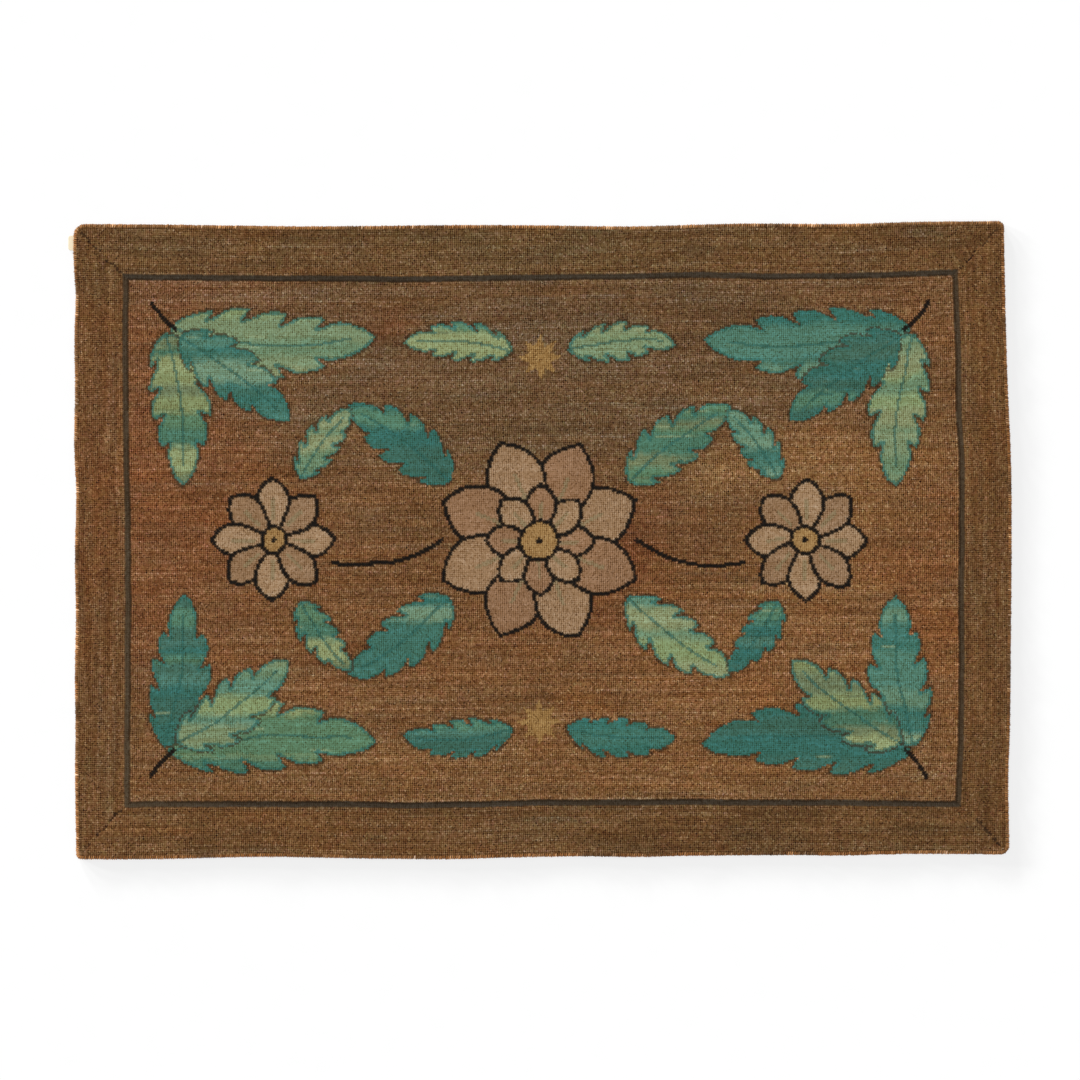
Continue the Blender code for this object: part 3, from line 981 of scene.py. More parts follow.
def drifted(x, y, inner):
    """Shift places as an uneven hand would, but hold the outline where it is."""
    for number, (reach, amount) in enumerate(DRIFTS):
        x = x + inner * amount * soft_noise(x, y, reach, reach, DRIFT_SEED_X + number)
        y = y + inner * amount * soft_noise(x, y, reach, reach, DRIFT_SEED_Y + number)
    jitter = HAND_JITTER * np.clip(random.normal(size=(2,) + x.shape), -FURTHEST, FURTHEST)
    return x + inner * jitter[0], y + inner * jitter[1]


def edge_loops(across, up):
    """How many loops a lattice place lies in from the nearest edge."""
    return np.minimum(np.minimum(across, LOOPS_ACROSS - across), np.minimum(up, LOOPS_UP - up))


def in_threes(parts):
    """Stack arrays, and read them out as rows of three."""
    return np.stack(parts, axis=-1).reshape(-1, 3)


def lattice_points(across, up, z):
    """Lattice places as rows of x, y and z in metres."""
    x, y = rug_place(across, up)
    x, y = drifted(x, y, np.clip(edge_loops(across, up) / HELD_LOOPS, 0, 1))
    return in_threes([x, y, z]) * MM


beside_a, beside_b = np.meshgrid(np.arange(LOOPS_ACROSS + 1.0), np.arange(LOOPS_UP) + 0.5)
above_a, above_b = np.meshgrid(np.arange(LOOPS_ACROSS) + 0.5, np.arange(LOOPS_UP + 1.0))
pile_points = np.vstack([
    lattice_points(columns + 0.5, rows + 0.5, loop_z),
    lattice_points(above_a, above_b, above_z),
    lattice_points(beside_a, beside_b, beside_z),
])
print(len(pile_points), "points")

# %% Triangles of the whole pile
loop_id = np.arange(columns.size).reshape(columns.shape)
above_id = loop_id.size + np.arange(above_a.size).reshape(above_a.shape)
beside_id = loop_id.size + above_id.size + np.arange(beside_a.size).reshape(beside_a.shape)
pile_triangles = []
pile_dyes_and_painted_shade = []


def add_triangles(points, dyes):
    """Keep triangles and the colour of each of their corners, painted shade included."""
    pile_triangles.append(in_threes(points))
    pile_dyes_and_painted_shade.append(np.stack(dyes, axis=-2).reshape(-1, 3, 3))

# %% Triangles, colours and painted shade of the loops
# The dyes are as a picture shows them, and this makes up for the light and for the painted shade in the
# gaps
DYE_GAIN = np.array((1.62, 1.70, 1.72))
# Painted shade: light that is left in a rib's groove, and between loops that lean on each other
SIDE_SHADE = 0.55
END_SHADE = 0.85
# Painted shade that the closest hooking puts on the loops' tops, as its gaps get paler painted shade
CLOSE_SHADE = 0.55

# The low points beside and above each loop get painted shade, deepest in a rib's groove
shade_beside = 1 - (1 - (END_SHADE + (SIDE_SHADE - END_SHADE) * upright)) * relief
shade_above = 1 - (1 - (SIDE_SHADE + (END_SHADE - SIDE_SHADE) * upright)) * relief
top_dye_and_painted_shade = dye_and_painted_shade * DYE_GAIN * (1 - CLOSE_SHADE * (1 - relief))[..., None]
beside_dye_painted_shade = toned(top_dye_and_painted_shade, np.log(shade_beside))
above_dye_painted_shade = toned(top_dye_and_painted_shade, np.log(shade_above))
left, right = beside_id[:, :-1], beside_id[:, 1:]
below, over = above_id[:-1], above_id[1:]
add_triangles((loop_id, right, over), (top_dye_and_painted_shade, beside_dye_painted_shade, above_dye_painted_shade))
add_triangles((loop_id, over, left), (top_dye_and_painted_shade, above_dye_painted_shade, beside_dye_painted_shade))
add_triangles((loop_id, left, below), (top_dye_and_painted_shade, beside_dye_painted_shade, above_dye_painted_shade))
add_triangles((loop_id, below, right), (top_dye_and_painted_shade, above_dye_painted_shade, beside_dye_painted_shade))

# %% Painted shade of the gaps between four loops
# Painted shade in a gap: light that is left, how much that varies, and where the palest ones end
GAP_SHADE = 0.35
GAP_SPREAD = 0.6
PALEST_GAP = 0.8
# Some gaps of the ground get deeper painted shade: how many, how much light is left, and in what relief
OPEN_GAPS = 0.06
OPEN_SHADE = 0.3
OPEN_RELIEF = 0.9
# How much darker a gap's painted shade is across the ribs than along them
RIB_CONTRAST = 0.7


def four_mean(values):
    """Mean of the four loops round each gap."""
    return pair_mean(pair_mean(values, 0), 1)[1:-1, 1:-1]


gap_relief = four_mean(relief)
gap_shade = 1 - (1 - GAP_SHADE) * gap_relief
gap_luck = np.clip(random.normal(size=gap_shade.shape), -ODDEST, PALEST_GAP)
gap_shade *= np.exp(GAP_SPREAD * gap_luck * gap_relief)
is_open = (random.random(gap_shade.shape) < OPEN_GAPS) & (gap_relief > OPEN_RELIEF)
gap_shade = np.where(is_open, gap_shade * OPEN_SHADE, gap_shade)
gap_dye_painted_shade = toned(four_mean(top_dye_and_painted_shade), np.log(gap_shade))
rib_contrast = RIB_CONTRAST * (four_mean(upright) - 0.5)
rib_dye_painted_shade = gap_dye_painted_shade * (1 + rib_contrast)[..., None]
row_dye_painted_shade = gap_dye_painted_shade * (1 - rib_contrast)[..., None]
print("open gaps:", int(is_open.sum()))

# %% Triangles of the gaps
left, right = above_id[1:-1, :-1], above_id[1:-1, 1:]
below, over = beside_id[:-1, 1:-1], beside_id[1:, 1:-1]
# Each gap is split along its stronger ribs
ribs_up = four_mean(upright) > 0.5
first = np.where(ribs_up, below, left)
first_dye_painted_shade = np.where(ribs_up[..., None], row_dye_painted_shade, rib_dye_painted_shade)
add_triangles((first, right, over), (first_dye_painted_shade, rib_dye_painted_shade, row_dye_painted_shade))
add_triangles((first, np.where(ribs_up, over, below), np.where(ribs_up, left, right)),
              (first_dye_painted_shade, row_dye_painted_shade, rib_dye_painted_shade))

# %% Triangles at the rim
rim_sides = (
    ((beside_id[:-1, 0], above_id[1:-1, 0], beside_id[1:, 0]), beside_dye_painted_shade[1:, 0]),
    ((beside_id[:-1, -1], beside_id[1:, -1], above_id[1:-1, -1]), beside_dye_painted_shade[1:, -1]),
    ((above_id[0, :-1], above_id[0, 1:], beside_id[0, 1:-1]), above_dye_painted_shade[0, 1:]),
    ((above_id[-1, :-1], beside_id[-1, 1:-1], above_id[-1, 1:]), above_dye_painted_shade[-1, 1:]),
)
# The rim's side faces get the painted shade of a gap
for points, shaded in rim_sides:
    add_triangles(points, (shaded * GAP_SHADE,) * 3)
pile_triangles = np.vstack(pile_triangles)
pile_dyes_and_painted_shade = np.vstack(pile_dyes_and_painted_shade)
print(len(pile_triangles), "triangles")

# %% [markdown]
# ## Meshes from arrays
#
# Blender takes points, corners and faces as flat arrays, which is much faster than adding faces one by
# one. The pile is cut into level strips so that no piece is too heavy. Its normals are worked out on
# the whole pile first and handed to each strip, so no seam shows where two strips meet. A map that
# looks straight down gives each strip room on the baked texture.

# %% Helpers for meshes
# Share of a map that is left free at each of its edges
MAP_MARGIN = 0.004


def point_normals(points, triangles):
    """Smooth normals of a mesh at its points."""
    corner = points[triangles]
    face = np.cross(corner[:, 1] - corner[:, 0], corner[:, 2] - corner[:, 0])
    total = np.stack([
        np.bincount(triangles.ravel(), np.repeat(face[:, axis], 3), len(points)) for axis in range(3)
    ], axis=1)
    return total / np.maximum(np.linalg.norm(total, axis=1, keepdims=True), TINY)


def make_piece(name, points, triangles, dyes, normals=None):
    """A smooth mesh object from arrays of points, triangles and the triangles' corner colours."""
    data = bpy.data.meshes.new(name)
    data.vertices.add(len(points))
    data.vertices.foreach_set("co", points.astype(np.float32).ravel())
    data.loops.add(triangles.size)
    data.loops.foreach_set("vertex_index", triangles.astype(np.int32).ravel())
    data.polygons.add(len(triangles))
    data.polygons.foreach_set("loop_start", np.arange(0, triangles.size, 3, dtype=np.int32))
    data.update(calc_edges=True)
    data.shade_smooth()
    # The colour attribute holds the dye together with its painted shade
    colour = data.color_attributes.new("dye_and_painted_shade", "FLOAT_COLOR", "CORNER")
    covered = np.hstack([dyes.reshape(-1, 3), np.ones((triangles.size, 1))])
    colour.data.foreach_set("color", covered.astype(np.float32).ravel())
    if normals is not None:
        data.normals_split_custom_set_from_vertices(normals.astype(np.float32))
    piece = bpy.data.objects.new(name, data)
    bpy.context.collection.objects.link(piece)
    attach(piece, "root")
    print(name, len(triangles), "triangles")
    return piece


def add_map(piece, corners):
    """Store a texture map for the bake, from a u and a v for each corner of each triangle."""
    layer = piece.data.uv_layers.new(name="OFBake")
    layer.data.foreach_set("uv", corners.astype(np.float32).ravel())


def map_from_above(points, triangles):
    """A map that looks straight down, with a small margin."""
    flat = points[:, :2]
    spread = (flat - flat.min(axis=0)) / np.ptp(flat, axis=0)
    return (MAP_MARGIN + (1 - 2 * MAP_MARGIN) * spread)[triangles]

# %% Cut the pile into strips
PILE_STRIPS = 5

pile_normals = point_normals(pile_points, pile_triangles)
middle_y = pile_points[pile_triangles].mean(axis=1)[:, 1]
cuts = np.quantile(middle_y, np.linspace(0, 1, PILE_STRIPS + 1))
# The last strip takes in the furthest triangle too
cuts[-1] += 1
pile_pieces = []
for number in range(PILE_STRIPS):
    chosen = (middle_y >= cuts[number]) & (middle_y < cuts[number + 1])
    used, local = np.unique(pile_triangles[chosen], return_inverse=True)
    local = local.reshape(-1, 3)
    piece = make_piece(f"pile_rows_{number + 1}", pile_points[used], local,
                       pile_dyes_and_painted_shade[chosen], pile_normals[used])
    add_map(piece, map_from_above(pile_points[used], local))
    pile_pieces.append(piece)

# %% [markdown]
# ## Dyed cloth strip
#
# The loops are cut from worn stockings and dress cloth, dyed at home. Such cloth is matt with a faint
# sheen from its smooth fibres, so roughness is high and sheen is low. The loop's colour, with the
# painted shade between loops, comes from the mesh. Fine fibre noise makes it uneven inside one loop.
# Real fibres are a tenth of a millimetre apart, which is too fine to show, so the noise is drawn at
# half a millimetre.

# %% One helper for nodes
def add_node(tree, kind, settings=(), links=()):
    """Add a node, set its sockets or properties by name, and link its inputs."""
    node = tree.nodes.new(kind)
    for name, value in dict(settings).items():
        if isinstance(name, int) or name in node.inputs:
            node.inputs[name].default_value = value
        else:
            setattr(node, name, value)
    for name, source in dict(links).items():
        tree.links.new(source, node.inputs[name])
    return node

# %% What all cloths have in common
def new_finish(name, settings):
    """A material with a Principled shader and its even settings."""
    finish = bpy.data.materials.new(name)
    finish.use_nodes = True
    shader = finish.node_tree.nodes["Principled BSDF"]
    for socket, value in settings.items():
        shader.inputs[socket].default_value = value
    return finish, finish.node_tree, shader


def wear_cloth(tree, shader, pattern, grain_and_painted_shade, rough, bump):
    """Let a cloth's pattern scale the mesh's colour for grain or painted shade between threads, vary the
    roughness, and raise its threads.
    """
    colour = add_node(tree, "ShaderNodeAttribute", {"attribute_name": "dye_and_painted_shade"})
    bright = add_node(tree, "ShaderNodeMapRange", grain_and_painted_shade, {"Value": pattern})
    shade = add_node(tree, "ShaderNodeVectorMath", {"operation": "SCALE"},
                     {0: colour.outputs["Color"], "Scale": bright.outputs["Result"]})
    matt = add_node(tree, "ShaderNodeMapRange", rough, {"Value": pattern})
    raised = add_node(tree, "ShaderNodeBump", bump, {"Height": pattern})
    tree.links.new(shade.outputs["Vector"], shader.inputs["Base Color"])
    tree.links.new(matt.outputs["Result"], shader.inputs["Roughness"])
    tree.links.new(raised.outputs["Normal"], shader.inputs["Normal"])

# %% The strip's finish
# Grains of noise to a metre: half a millimetre each
FIBRE_SCALE = 2000.0


def dyed_strip():
    """Home-dyed cloth strip, hooked: matt, faintly lustrous, uneven inside each loop."""
    finish, tree, shader = new_finish("dyed cloth strip", {
        "Metallic": 0.0, "IOR": 1.5, "Specular IOR Level": 0.12,
        "Sheen Weight": 0.03, "Sheen Roughness": 0.55,
    })
    place = add_node(tree, "ShaderNodeTexCoord")
    fibre = add_node(tree, "ShaderNodeTexNoise", {"Scale": FIBRE_SCALE, "Detail": 2.0, "Roughness": 0.6},
                     {"Vector": place.outputs["Object"]})
    wear_cloth(tree, shader, fibre.outputs["Fac"], grain_and_painted_shade={"To Min": 0.80, "To Max": 1.20},
               rough={"To Min": 0.78, "To Max": 0.98}, bump={"Strength": 0.35, "Distance": 0.0002})
    return finish


strip_finish = dyed_strip()
for piece in pile_pieces:
    piece.data.materials.append(strip_finish)
    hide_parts("hooked_mat")

# %% [markdown]
# ## The overcast rim
#
# Where the hessian is turned under, its fold is covered by an overcast stitch in tan yarn, about one
# stitch to each loop. On the real rug this guards the edge, and it shows as a thin pale line all round.
# Every stitch is a small flattened tube that climbs from under the rug, over the fold and into the
# pile. One helper makes many tubes at once from their paths, and it serves the hem's stitches too.

# %% A course round the rug
STEPS_PER_LOOP = 4
# A heading is taken between two places this far before and behind
HEADING_REACH = 1.5


def ring_course(inset, spacing):
    """Places round the rug at an inset in loops: points, headings along and headings inward."""
    wide = np.arange(0, LOOPS_ACROSS - 2 * inset, 1 / STEPS_PER_LOOP)
    tall = np.arange(0, LOOPS_UP - 2 * inset, 1 / STEPS_PER_LOOP)
    right, top = LOOPS_ACROSS - inset, LOOPS_UP - inset
    across = np.concatenate([inset + wide, np.full(len(tall), right),
                             right - wide, np.full(len(tall), inset)])
    up = np.concatenate([np.full(len(wide), inset), inset + tall, np.full(len(wide), top), top - tall])
    course = np.stack(rug_place(across, up), axis=1)
    course = np.vstack([course, course[:1]])
    length = np.concatenate([[0], np.cumsum(np.linalg.norm(np.diff(course, axis=0), axis=1))])
    count = round(length[-1] / spacing)
    stops = (np.arange(count) + 0.5) * length[-1] / count

    def at(shift):
        """The places, shifted along the course."""
        return np.stack([np.interp((stops + shift) % length[-1], length, course[:, axis])
                         for axis in (0, 1)], axis=1)

    along = at(HEADING_REACH) - at(-HEADING_REACH)
    along /= np.linalg.norm(along, axis=1, keepdims=True)
    return at(0), along, np.stack([-along[:, 1], along[:, 0]], axis=1)


def arches(course, arch, slant, heights):
    """Paths in mm over an edge. Columns of arch: inset from the course, height. One path per place."""
    points, along, inward = course
    inset, level = np.array(arch, float).T
    lean = slant * np.linspace(1, -1, len(arch))
    flat = points[:, None] + inward[:, None] * inset[:, None] + along[:, None] * lean[:, None]
    return np.concatenate([flat, (heights[:, None] * level)[..., None]], axis=2)

# %% Faces of one tube
# A tube's place on the map: a margin, the share for its sides, and its ends' size, height and radius
TUBE_MARGIN = 0.04
SIDES_SHARE = 0.78
END_SIZE = (0.5, 0.2)
END_HEIGHT = 0.8
END_RADIUS = 0.4


def tube_faces(stops, turn):
    """Triangles of one tube and of its two flat ends, and their corners on a map from 0 to 1."""
    sides = len(turn)
    stop, side = np.meshgrid(np.arange(stops - 1), np.arange(sides), indexing="ij")
    this, beside = stop * sides + side, stop * sides + (side + 1) % sides
    body = in_threes([this, beside, beside + sides, this, beside + sides, this + sides])
    u = in_threes([side, side + 1, side + 1, side, side + 1, side]) / sides
    v = in_threes([stop, stop, stop + 1, stop, stop + 1, stop + 1]) / (stops - 1)
    spoke = np.arange(1, sides - 1)
    first = in_threes([0 * spoke, spoke + 1, spoke])
    last = in_threes([0 * spoke, spoke, spoke + 1]) + (stops - 1) * sides
    disc = 0.5 + END_RADIUS * np.stack([np.cos(turn), np.sin(turn)], axis=-1)
    ends = [disc[part % sides] * END_SIZE + (END_SIZE[0] * place, END_HEIGHT)
            for place, part in enumerate((first, last))]
    return np.vstack([body, first, last]), np.vstack([np.stack([u, v * SIDES_SHARE], axis=-1), *ends])

# %% Many tubes at once
def tube_mesh(paths, along, half_width, half_height, taper, sides):
    """Closed, flattened tubes along paths: points in metres, triangles and their map corners."""
    count, stops = paths.shape[:2]
    wide = np.concatenate([along, np.zeros((count, 1))], axis=1)[:, None]
    out = np.cross(np.gradient(paths, axis=1), wide)
    out /= np.linalg.norm(out, axis=2, keepdims=True)
    turn = 2 * np.pi * (np.arange(sides) + 0.5) / sides
    size = np.array(taper)[:, None, None]
    ring_points = paths[:, :, None] + size * (
        half_width * np.cos(turn)[:, None] * wide[:, :, None]
        + half_height * np.sin(turn)[:, None] * out[:, :, None])
    one, cell = tube_faces(stops, turn)
    triangles = (one + (np.arange(count) * stops * sides)[:, None, None]).reshape(-1, 3)
    # Each tube has a square of its own on the map
    grid = math.ceil(math.sqrt(count))
    place = np.stack([np.arange(count) % grid, np.arange(count) // grid], axis=1)
    corners = (place[:, None, None] + TUBE_MARGIN + (1 - 2 * TUBE_MARGIN) * cell) / grid
    return ring_points.reshape(-1, 3) * MM, triangles, corners.reshape(-1, 2)


def tube_dyes_with_painted_shade(colours, shades, sides, triangles):
    """Corner colours of tubes, from a colour for each tube and painted shade for each stop."""
    stops = len(shades)
    tube = triangles // (stops * sides)
    stop = triangles % (stops * sides) // sides
    return colours[tube] * np.array(shades)[stop][..., None]

# %% Where the overcast stitches run
RIM_PILE = 5.2
RIM_SLANT = 0.7
RIM_JITTER = 0.15
# Columns: inset from the outline (mm), height (mm) where the pile is as high as RIM_PILE
RIM_ARCH = ((3.6, 5.2), (2.2, 5.2), (0.7, 4.4), (-0.3, 2.8), (-0.1, 1.4), (1.3, 0.5))
# How far in from the edge the pile's height is read
RIM_READING = 5
# The pile hangs over the stitches here and there: how deep, how often, over what reach, and how much
# of that at each stop
RIM_SINK = 1.4
RIM_OVERHANG = 0.4
OVERHANG_REACH = 14
RIM_HIDDEN = (1, 1, 0.5, 0, 0, 0)
# Over the tape and this far round it, stitches lie at least this high
TAPE_MARGIN = 1.0
TAPE_CLEAR = 1.25

tape_low, tape_high = (np.array(corner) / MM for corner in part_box("tape_tab"))


def tape_distance(x, y):
    """How far places lie outside the tape tab's box: 0 over it."""
    away_x = np.maximum(tape_low[0] - x, x - tape_high[0])
    away_y = np.maximum(tape_low[1] - y, y - tape_high[1])
    return np.maximum(np.maximum(away_x, away_y), 0)


def rim_paths(course):
    """Paths of all overcast stitches."""
    points, _, inward = course
    tops = np.array([pile_top(*place) for place in points + RIM_READING * inward])
    paths = arches(course, RIM_ARCH, RIM_SLANT, tops / RIM_PILE)
    paths[..., :2] += RIM_JITTER * random.normal(size=(len(points), 1, 2))
    overhang = RIM_OVERHANG + soft_noise(*points.T, OVERHANG_REACH, OVERHANG_REACH, 83)
    paths[..., 2] -= np.clip(RIM_SINK * overhang, 0, RIM_SINK)[:, None] * np.array(RIM_HIDDEN)
    raised = tape_distance(paths[..., 0], paths[..., 1]) < TAPE_MARGIN
    paths[..., 2] = np.where(raised, np.maximum(paths[..., 2], TAPE_CLEAR), paths[..., 2])
    return paths

# %% The rim's yarn
# Columns: heading in degrees of the side from the middle, yarn colour there with painted light, paler on
# the left and top, which face the light
RIM_YARN_AND_PAINTED_LIGHT = ((90, "#a67242"), (0, "#9a683a"), (-90, "#9c683a"), (180, "#b07a4a"))
# Worn yarn shows brown: how much everywhere, how much more in patches, their reach, and the most
WORN = 0.20
WORN_PATCHES = 0.7
WORN_REACH = 18
MOST_WORN = 0.9
# How much the yarn's tone varies by stitch and in patches, and how many stitches are paler by how much
YARN_SPREAD = 0.32
YARN_PATCHES = 0.15
YARN_REACH = 9
PALE_STITCHES = 0.09
PALE_TONE = 0.6


def rim_yarn_and_painted_light(points, inward):
    """The colour of each overcast stitch: its yarn with painted light, paler on the left and top sides."""
    yarn_and_painted_light = np.zeros((len(points), 3))
    for heading, code in RIM_YARN_AND_PAINTED_LIGHT:
        side = np.array([math.cos(math.radians(heading)), math.sin(math.radians(heading))])
        yarn_and_painted_light += linear(code) * np.clip(-(inward @ side), 0, 1)[:, None] ** 2
    worn = np.clip(WORN + WORN_PATCHES * soft_noise(*points.T, WORN_REACH, WORN_REACH, 81), 0, MOST_WORN)
    tone = YARN_SPREAD * random.normal(size=len(points))
    tone += YARN_PATCHES * soft_noise(*points.T, YARN_REACH, YARN_REACH, 82)
    tone += np.where(random.random(len(points)) < PALE_STITCHES, PALE_TONE, 0)
    return toned(mix(yarn_and_painted_light, linear(BORDER_BROWN), worn), tone)

# %% Sew the rim
RIM_SIDES = 4
RIM_HALF_WIDTH = 1.02
RIM_HALF_HEIGHT = 0.42
RIM_TAPER = (0.7, 1, 1, 1, 1, 0.7)
# Painted shade along a stitch: darker where it dips into the pile and where it goes under the rug
RIM_SHADES = (0.75, 1.0, 1.0, 0.95, 0.9, 0.8)


def sew_rim():
    """The piece with all overcast stitches."""
    course = ring_course(0, PITCH)
    paths = rim_paths(course)
    yarn_and_painted_light = rim_yarn_and_painted_light(course[0], course[2])
    points, triangles, corners = tube_mesh(paths, course[1], RIM_HALF_WIDTH, RIM_HALF_HEIGHT,
                                           RIM_TAPER, RIM_SIDES)
    piece = make_piece("overcast_rim", points, triangles,
                       tube_dyes_with_painted_shade(yarn_and_painted_light, RIM_SHADES, RIM_SIDES, triangles))
    add_map(piece, corners)
    piece.data.materials.append(strip_finish)
    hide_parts("hooked_mat")
    return piece


rim_piece = sew_rim()

# %% [markdown]
# ## The back
#
# Turned over, the rug shows the hessian. The strips run along it as flat dashes, so the drawing shows
# in reverse, and the cut edge is folded in as a hem some 27 mm wide with plain jute outside. The photo
# doesn't show the back, so this is how such mats are commonly finished. The back is an open sheet:
# it starts at the fold under the overcast stitches and lies almost on the floor along the hem.

# %% Shape of the back
HEM_LOOPS = 12
HEM_Z = 0.3
BACK_Z = 0.9
# Columns: distance in from the edge in loops, height in mm
BACK_PROFILE = (
    (0, EDGE_Z), (0.3, 1.3), (0.8, 0.5), (1.6, HEM_Z),
    (HEM_LOOPS - 0.15, HEM_Z), (HEM_LOOPS + 0.35, BACK_Z),
)
# Loops between two places of the back's mesh, and the first even place
BACK_STEP = 2
EVEN_FROM = 3
# How uneven the back and the hem lie, and over what reach
BACK_SWELL = 0.10
HEM_SWELL = 0.03
BACK_REACH = 14
# The back rises over the tape: it is fully raised 2 mm from the tape and level 7 mm from it
LIFT_START = 1.4
LIFT_SLOPE = 5


def back_stops(count):
    """Lattice places across the back: close at the rim and at the hem's edge."""
    half = np.concatenate([
        [place for place, _ in BACK_PROFILE],
        np.arange(EVEN_FROM, HEM_LOOPS - 1, BACK_STEP),
        np.arange(HEM_LOOPS + BACK_STEP, count / 2, BACK_STEP),
    ])
    return np.unique(np.concatenate([half, count - half]))


def tape_lift(x, y):
    """How far the back must rise over the tape tab: 1 over it, and 0 a few millimetres away."""
    return np.clip(LIFT_START - tape_distance(x, y) / LIFT_SLOPE, 0, 1)


def back_height(x, y, inset):
    """Height of the back, from how many loops each place lies in from the edge."""
    z = np.interp(inset, *np.array(BACK_PROFILE).T)
    swell = np.where(inset > HEM_LOOPS, BACK_SWELL, HEM_SWELL)
    z += swell * soft_noise(x, y, BACK_REACH, BACK_REACH, 91) * np.clip(inset, 0, 1)
    return np.maximum(z, TAPE_CLEAR * tape_lift(x, y))

# %% Colours and mesh of the back
JUTE = "#a98a60"
# How much of the jute shows between the strips, and how uneven the plain hem is
JUTE_SHARE = 0.25
JUTE_TONE = 0.10
JUTE_REACH = 20


def back_dyes_and_painted_shade(across, up, x, y):
    """The strips in reverse, seen through the jute, with the front's painted shade at the mitres, and plain
    jute on the hem.
    """
    column = np.clip(across.astype(int), 0, LOOPS_ACROSS - 1)
    row = np.clip(up.astype(int), 0, LOOPS_UP - 1)
    worked = mix(dye_and_painted_shade[row, column], linear(JUTE), JUTE_SHARE)
    plain = dyed(JUTE, JUTE_TONE * soft_noise(x, y, JUTE_REACH, JUTE_REACH, 92))
    is_worked = edge_loops(across, up) > HEM_LOOPS
    return np.where(is_worked[..., None], worked, plain).reshape(-1, 3)


def make_back():
    """The hessian back with its turned hem."""
    across, up = np.meshgrid(back_stops(LOOPS_ACROSS), back_stops(LOOPS_UP))
    x, y = rug_place(across, up)
    points = in_threes([x, y, back_height(x, y, edge_loops(across, up))]) * MM
    point_id = np.arange(x.size).reshape(x.shape)
    low_left, low_right = point_id[:-1, :-1], point_id[:-1, 1:]
    top_left, top_right = point_id[1:, :-1], point_id[1:, 1:]
    # Every square is split towards the nearest corner of the rug
    turned = ((across < LOOPS_ACROSS / 2) != (up < LOOPS_UP / 2))[:-1, :-1]
    triangles = np.vstack([
        in_threes([np.where(turned, top_left, low_left), top_right, low_right]),
        in_threes([low_left, top_left, np.where(turned, low_right, top_right)]),
    ])
    piece = make_piece("hessian_back", points, triangles, back_dyes_and_painted_shade(across, up, x, y)[triangles])
    add_map(piece, map_from_above(points, triangles).reshape(-1, 2))
    return piece


back_piece = make_back()

# %% [markdown]
# ## Jute hessian
#
# Hessian is a plain weave of hairy jute yarn, and it is matt. Two crossed waves at the real thread
# spacing of 2.27 mm give raised threads and painted shade in the openings between them. Noise bends
# the waves, because jute yarn is never even.

# %% The hessian's finish
# Waves along X or Y repeat 20 / (2 pi) times in a metre at a scale of 1, diagonal ones half as often
WAVE_UNIT = 2 * math.pi / 20


def woven_jute():
    """Natural jute in a plain weave: matt, with painted shade in the openings between uneven threads."""
    finish, tree, shader = new_finish("jute hessian", {
        "Metallic": 0.0, "IOR": 1.5, "Specular IOR Level": 0.1, "Sheen Weight": 0.03,
    })
    place = add_node(tree, "ShaderNodeTexCoord")
    uneven = {"Scale": WAVE_UNIT / (PITCH * MM), "Distortion": 1.2, "Detail": 1.0, "Detail Scale": 0.4}
    threads = [
        add_node(tree, "ShaderNodeTexWave", {"bands_direction": way, **uneven},
                 {"Vector": place.outputs["Object"]}).outputs["Fac"]
        for way in ("X", "Y")
    ]
    weave = add_node(tree, "ShaderNodeMath", {"operation": "MAXIMUM"}, {0: threads[0], 1: threads[1]})
    wear_cloth(tree, shader, weave.outputs["Value"],
               grain_and_painted_shade={"From Min": 0.35, "To Min": 0.45, "To Max": 1.15},
               rough={"To Min": 0.98, "To Max": 0.85}, bump={"Strength": 0.6, "Distance": 0.0004})
    return finish


jute_finish = woven_jute()
back_piece.data.materials.append(jute_finish)
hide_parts("hooked_mat")

# %% Stitches that hold the hem
HEM_STITCH_SPACING = 11.0
HEM_SLANT = 1.3
HEM_JITTER = 0.5
HEM_THREAD = "#b7a27c"
THREAD_TONE = 0.1
HEM_SIDES = 5
HEM_HALF_WIDTH = 0.42
HEM_HALF_HEIGHT = 0.24
# Columns: inset from the hem's edge (mm), height (mm)
HEM_ARCH = ((-2.0, 0.28), (0.0, 0.30), (2.0, 0.80))
HEM_TAPER = (0.6, 1, 0.6)
# Painted shade at both ends of a stitch, where it goes into the cloth
HEM_SHADES = (0.8, 1.0, 0.8)
# The thread lies just under the cloth where that rises over the tape
THREAD_CLEAR = TAPE_CLEAR - 0.1


def sew_hem():
    """Slanting stitches in linen thread along the hem's inner edge."""
    course = ring_course(HEM_LOOPS, HEM_STITCH_SPACING)
    count = len(course[0])
    paths = arches(course, HEM_ARCH, HEM_SLANT, np.ones(count))
    paths[..., :2] += HEM_JITTER * random.normal(size=(count, 1, 2))
    raised = tape_lift(paths[..., 0], paths[..., 1])
    paths[..., 2] = np.maximum(paths[..., 2], THREAD_CLEAR * raised)
    thread = dyed(HEM_THREAD, THREAD_TONE * random.normal(size=count))
    points, triangles, corners = tube_mesh(paths, course[1], HEM_HALF_WIDTH, HEM_HALF_HEIGHT,
                                           HEM_TAPER, HEM_SIDES)
    piece = make_piece("hem_stitches", points, triangles,
                       tube_dyes_with_painted_shade(thread, HEM_SHADES, HEM_SIDES, triangles))
    add_map(piece, corners)
    piece.data.materials.append(jute_finish)
    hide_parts("hooked_mat")
    return piece


hem_piece = sew_hem()

# %% [markdown]
# ## The tape tab
#
# A short end of cream cotton tape peeps out under the left edge. Such tape is woven in twill, whose
# fine diagonal ribs are about a millimetre apart. The piece is a closed, flat sheet with softly
# rounded outer corners, and its inner end lies hidden in the slot under the rug.

# %% Mesh of the tape
TAPE_STEP = 0.5
TAPE_CORNER = 2.6
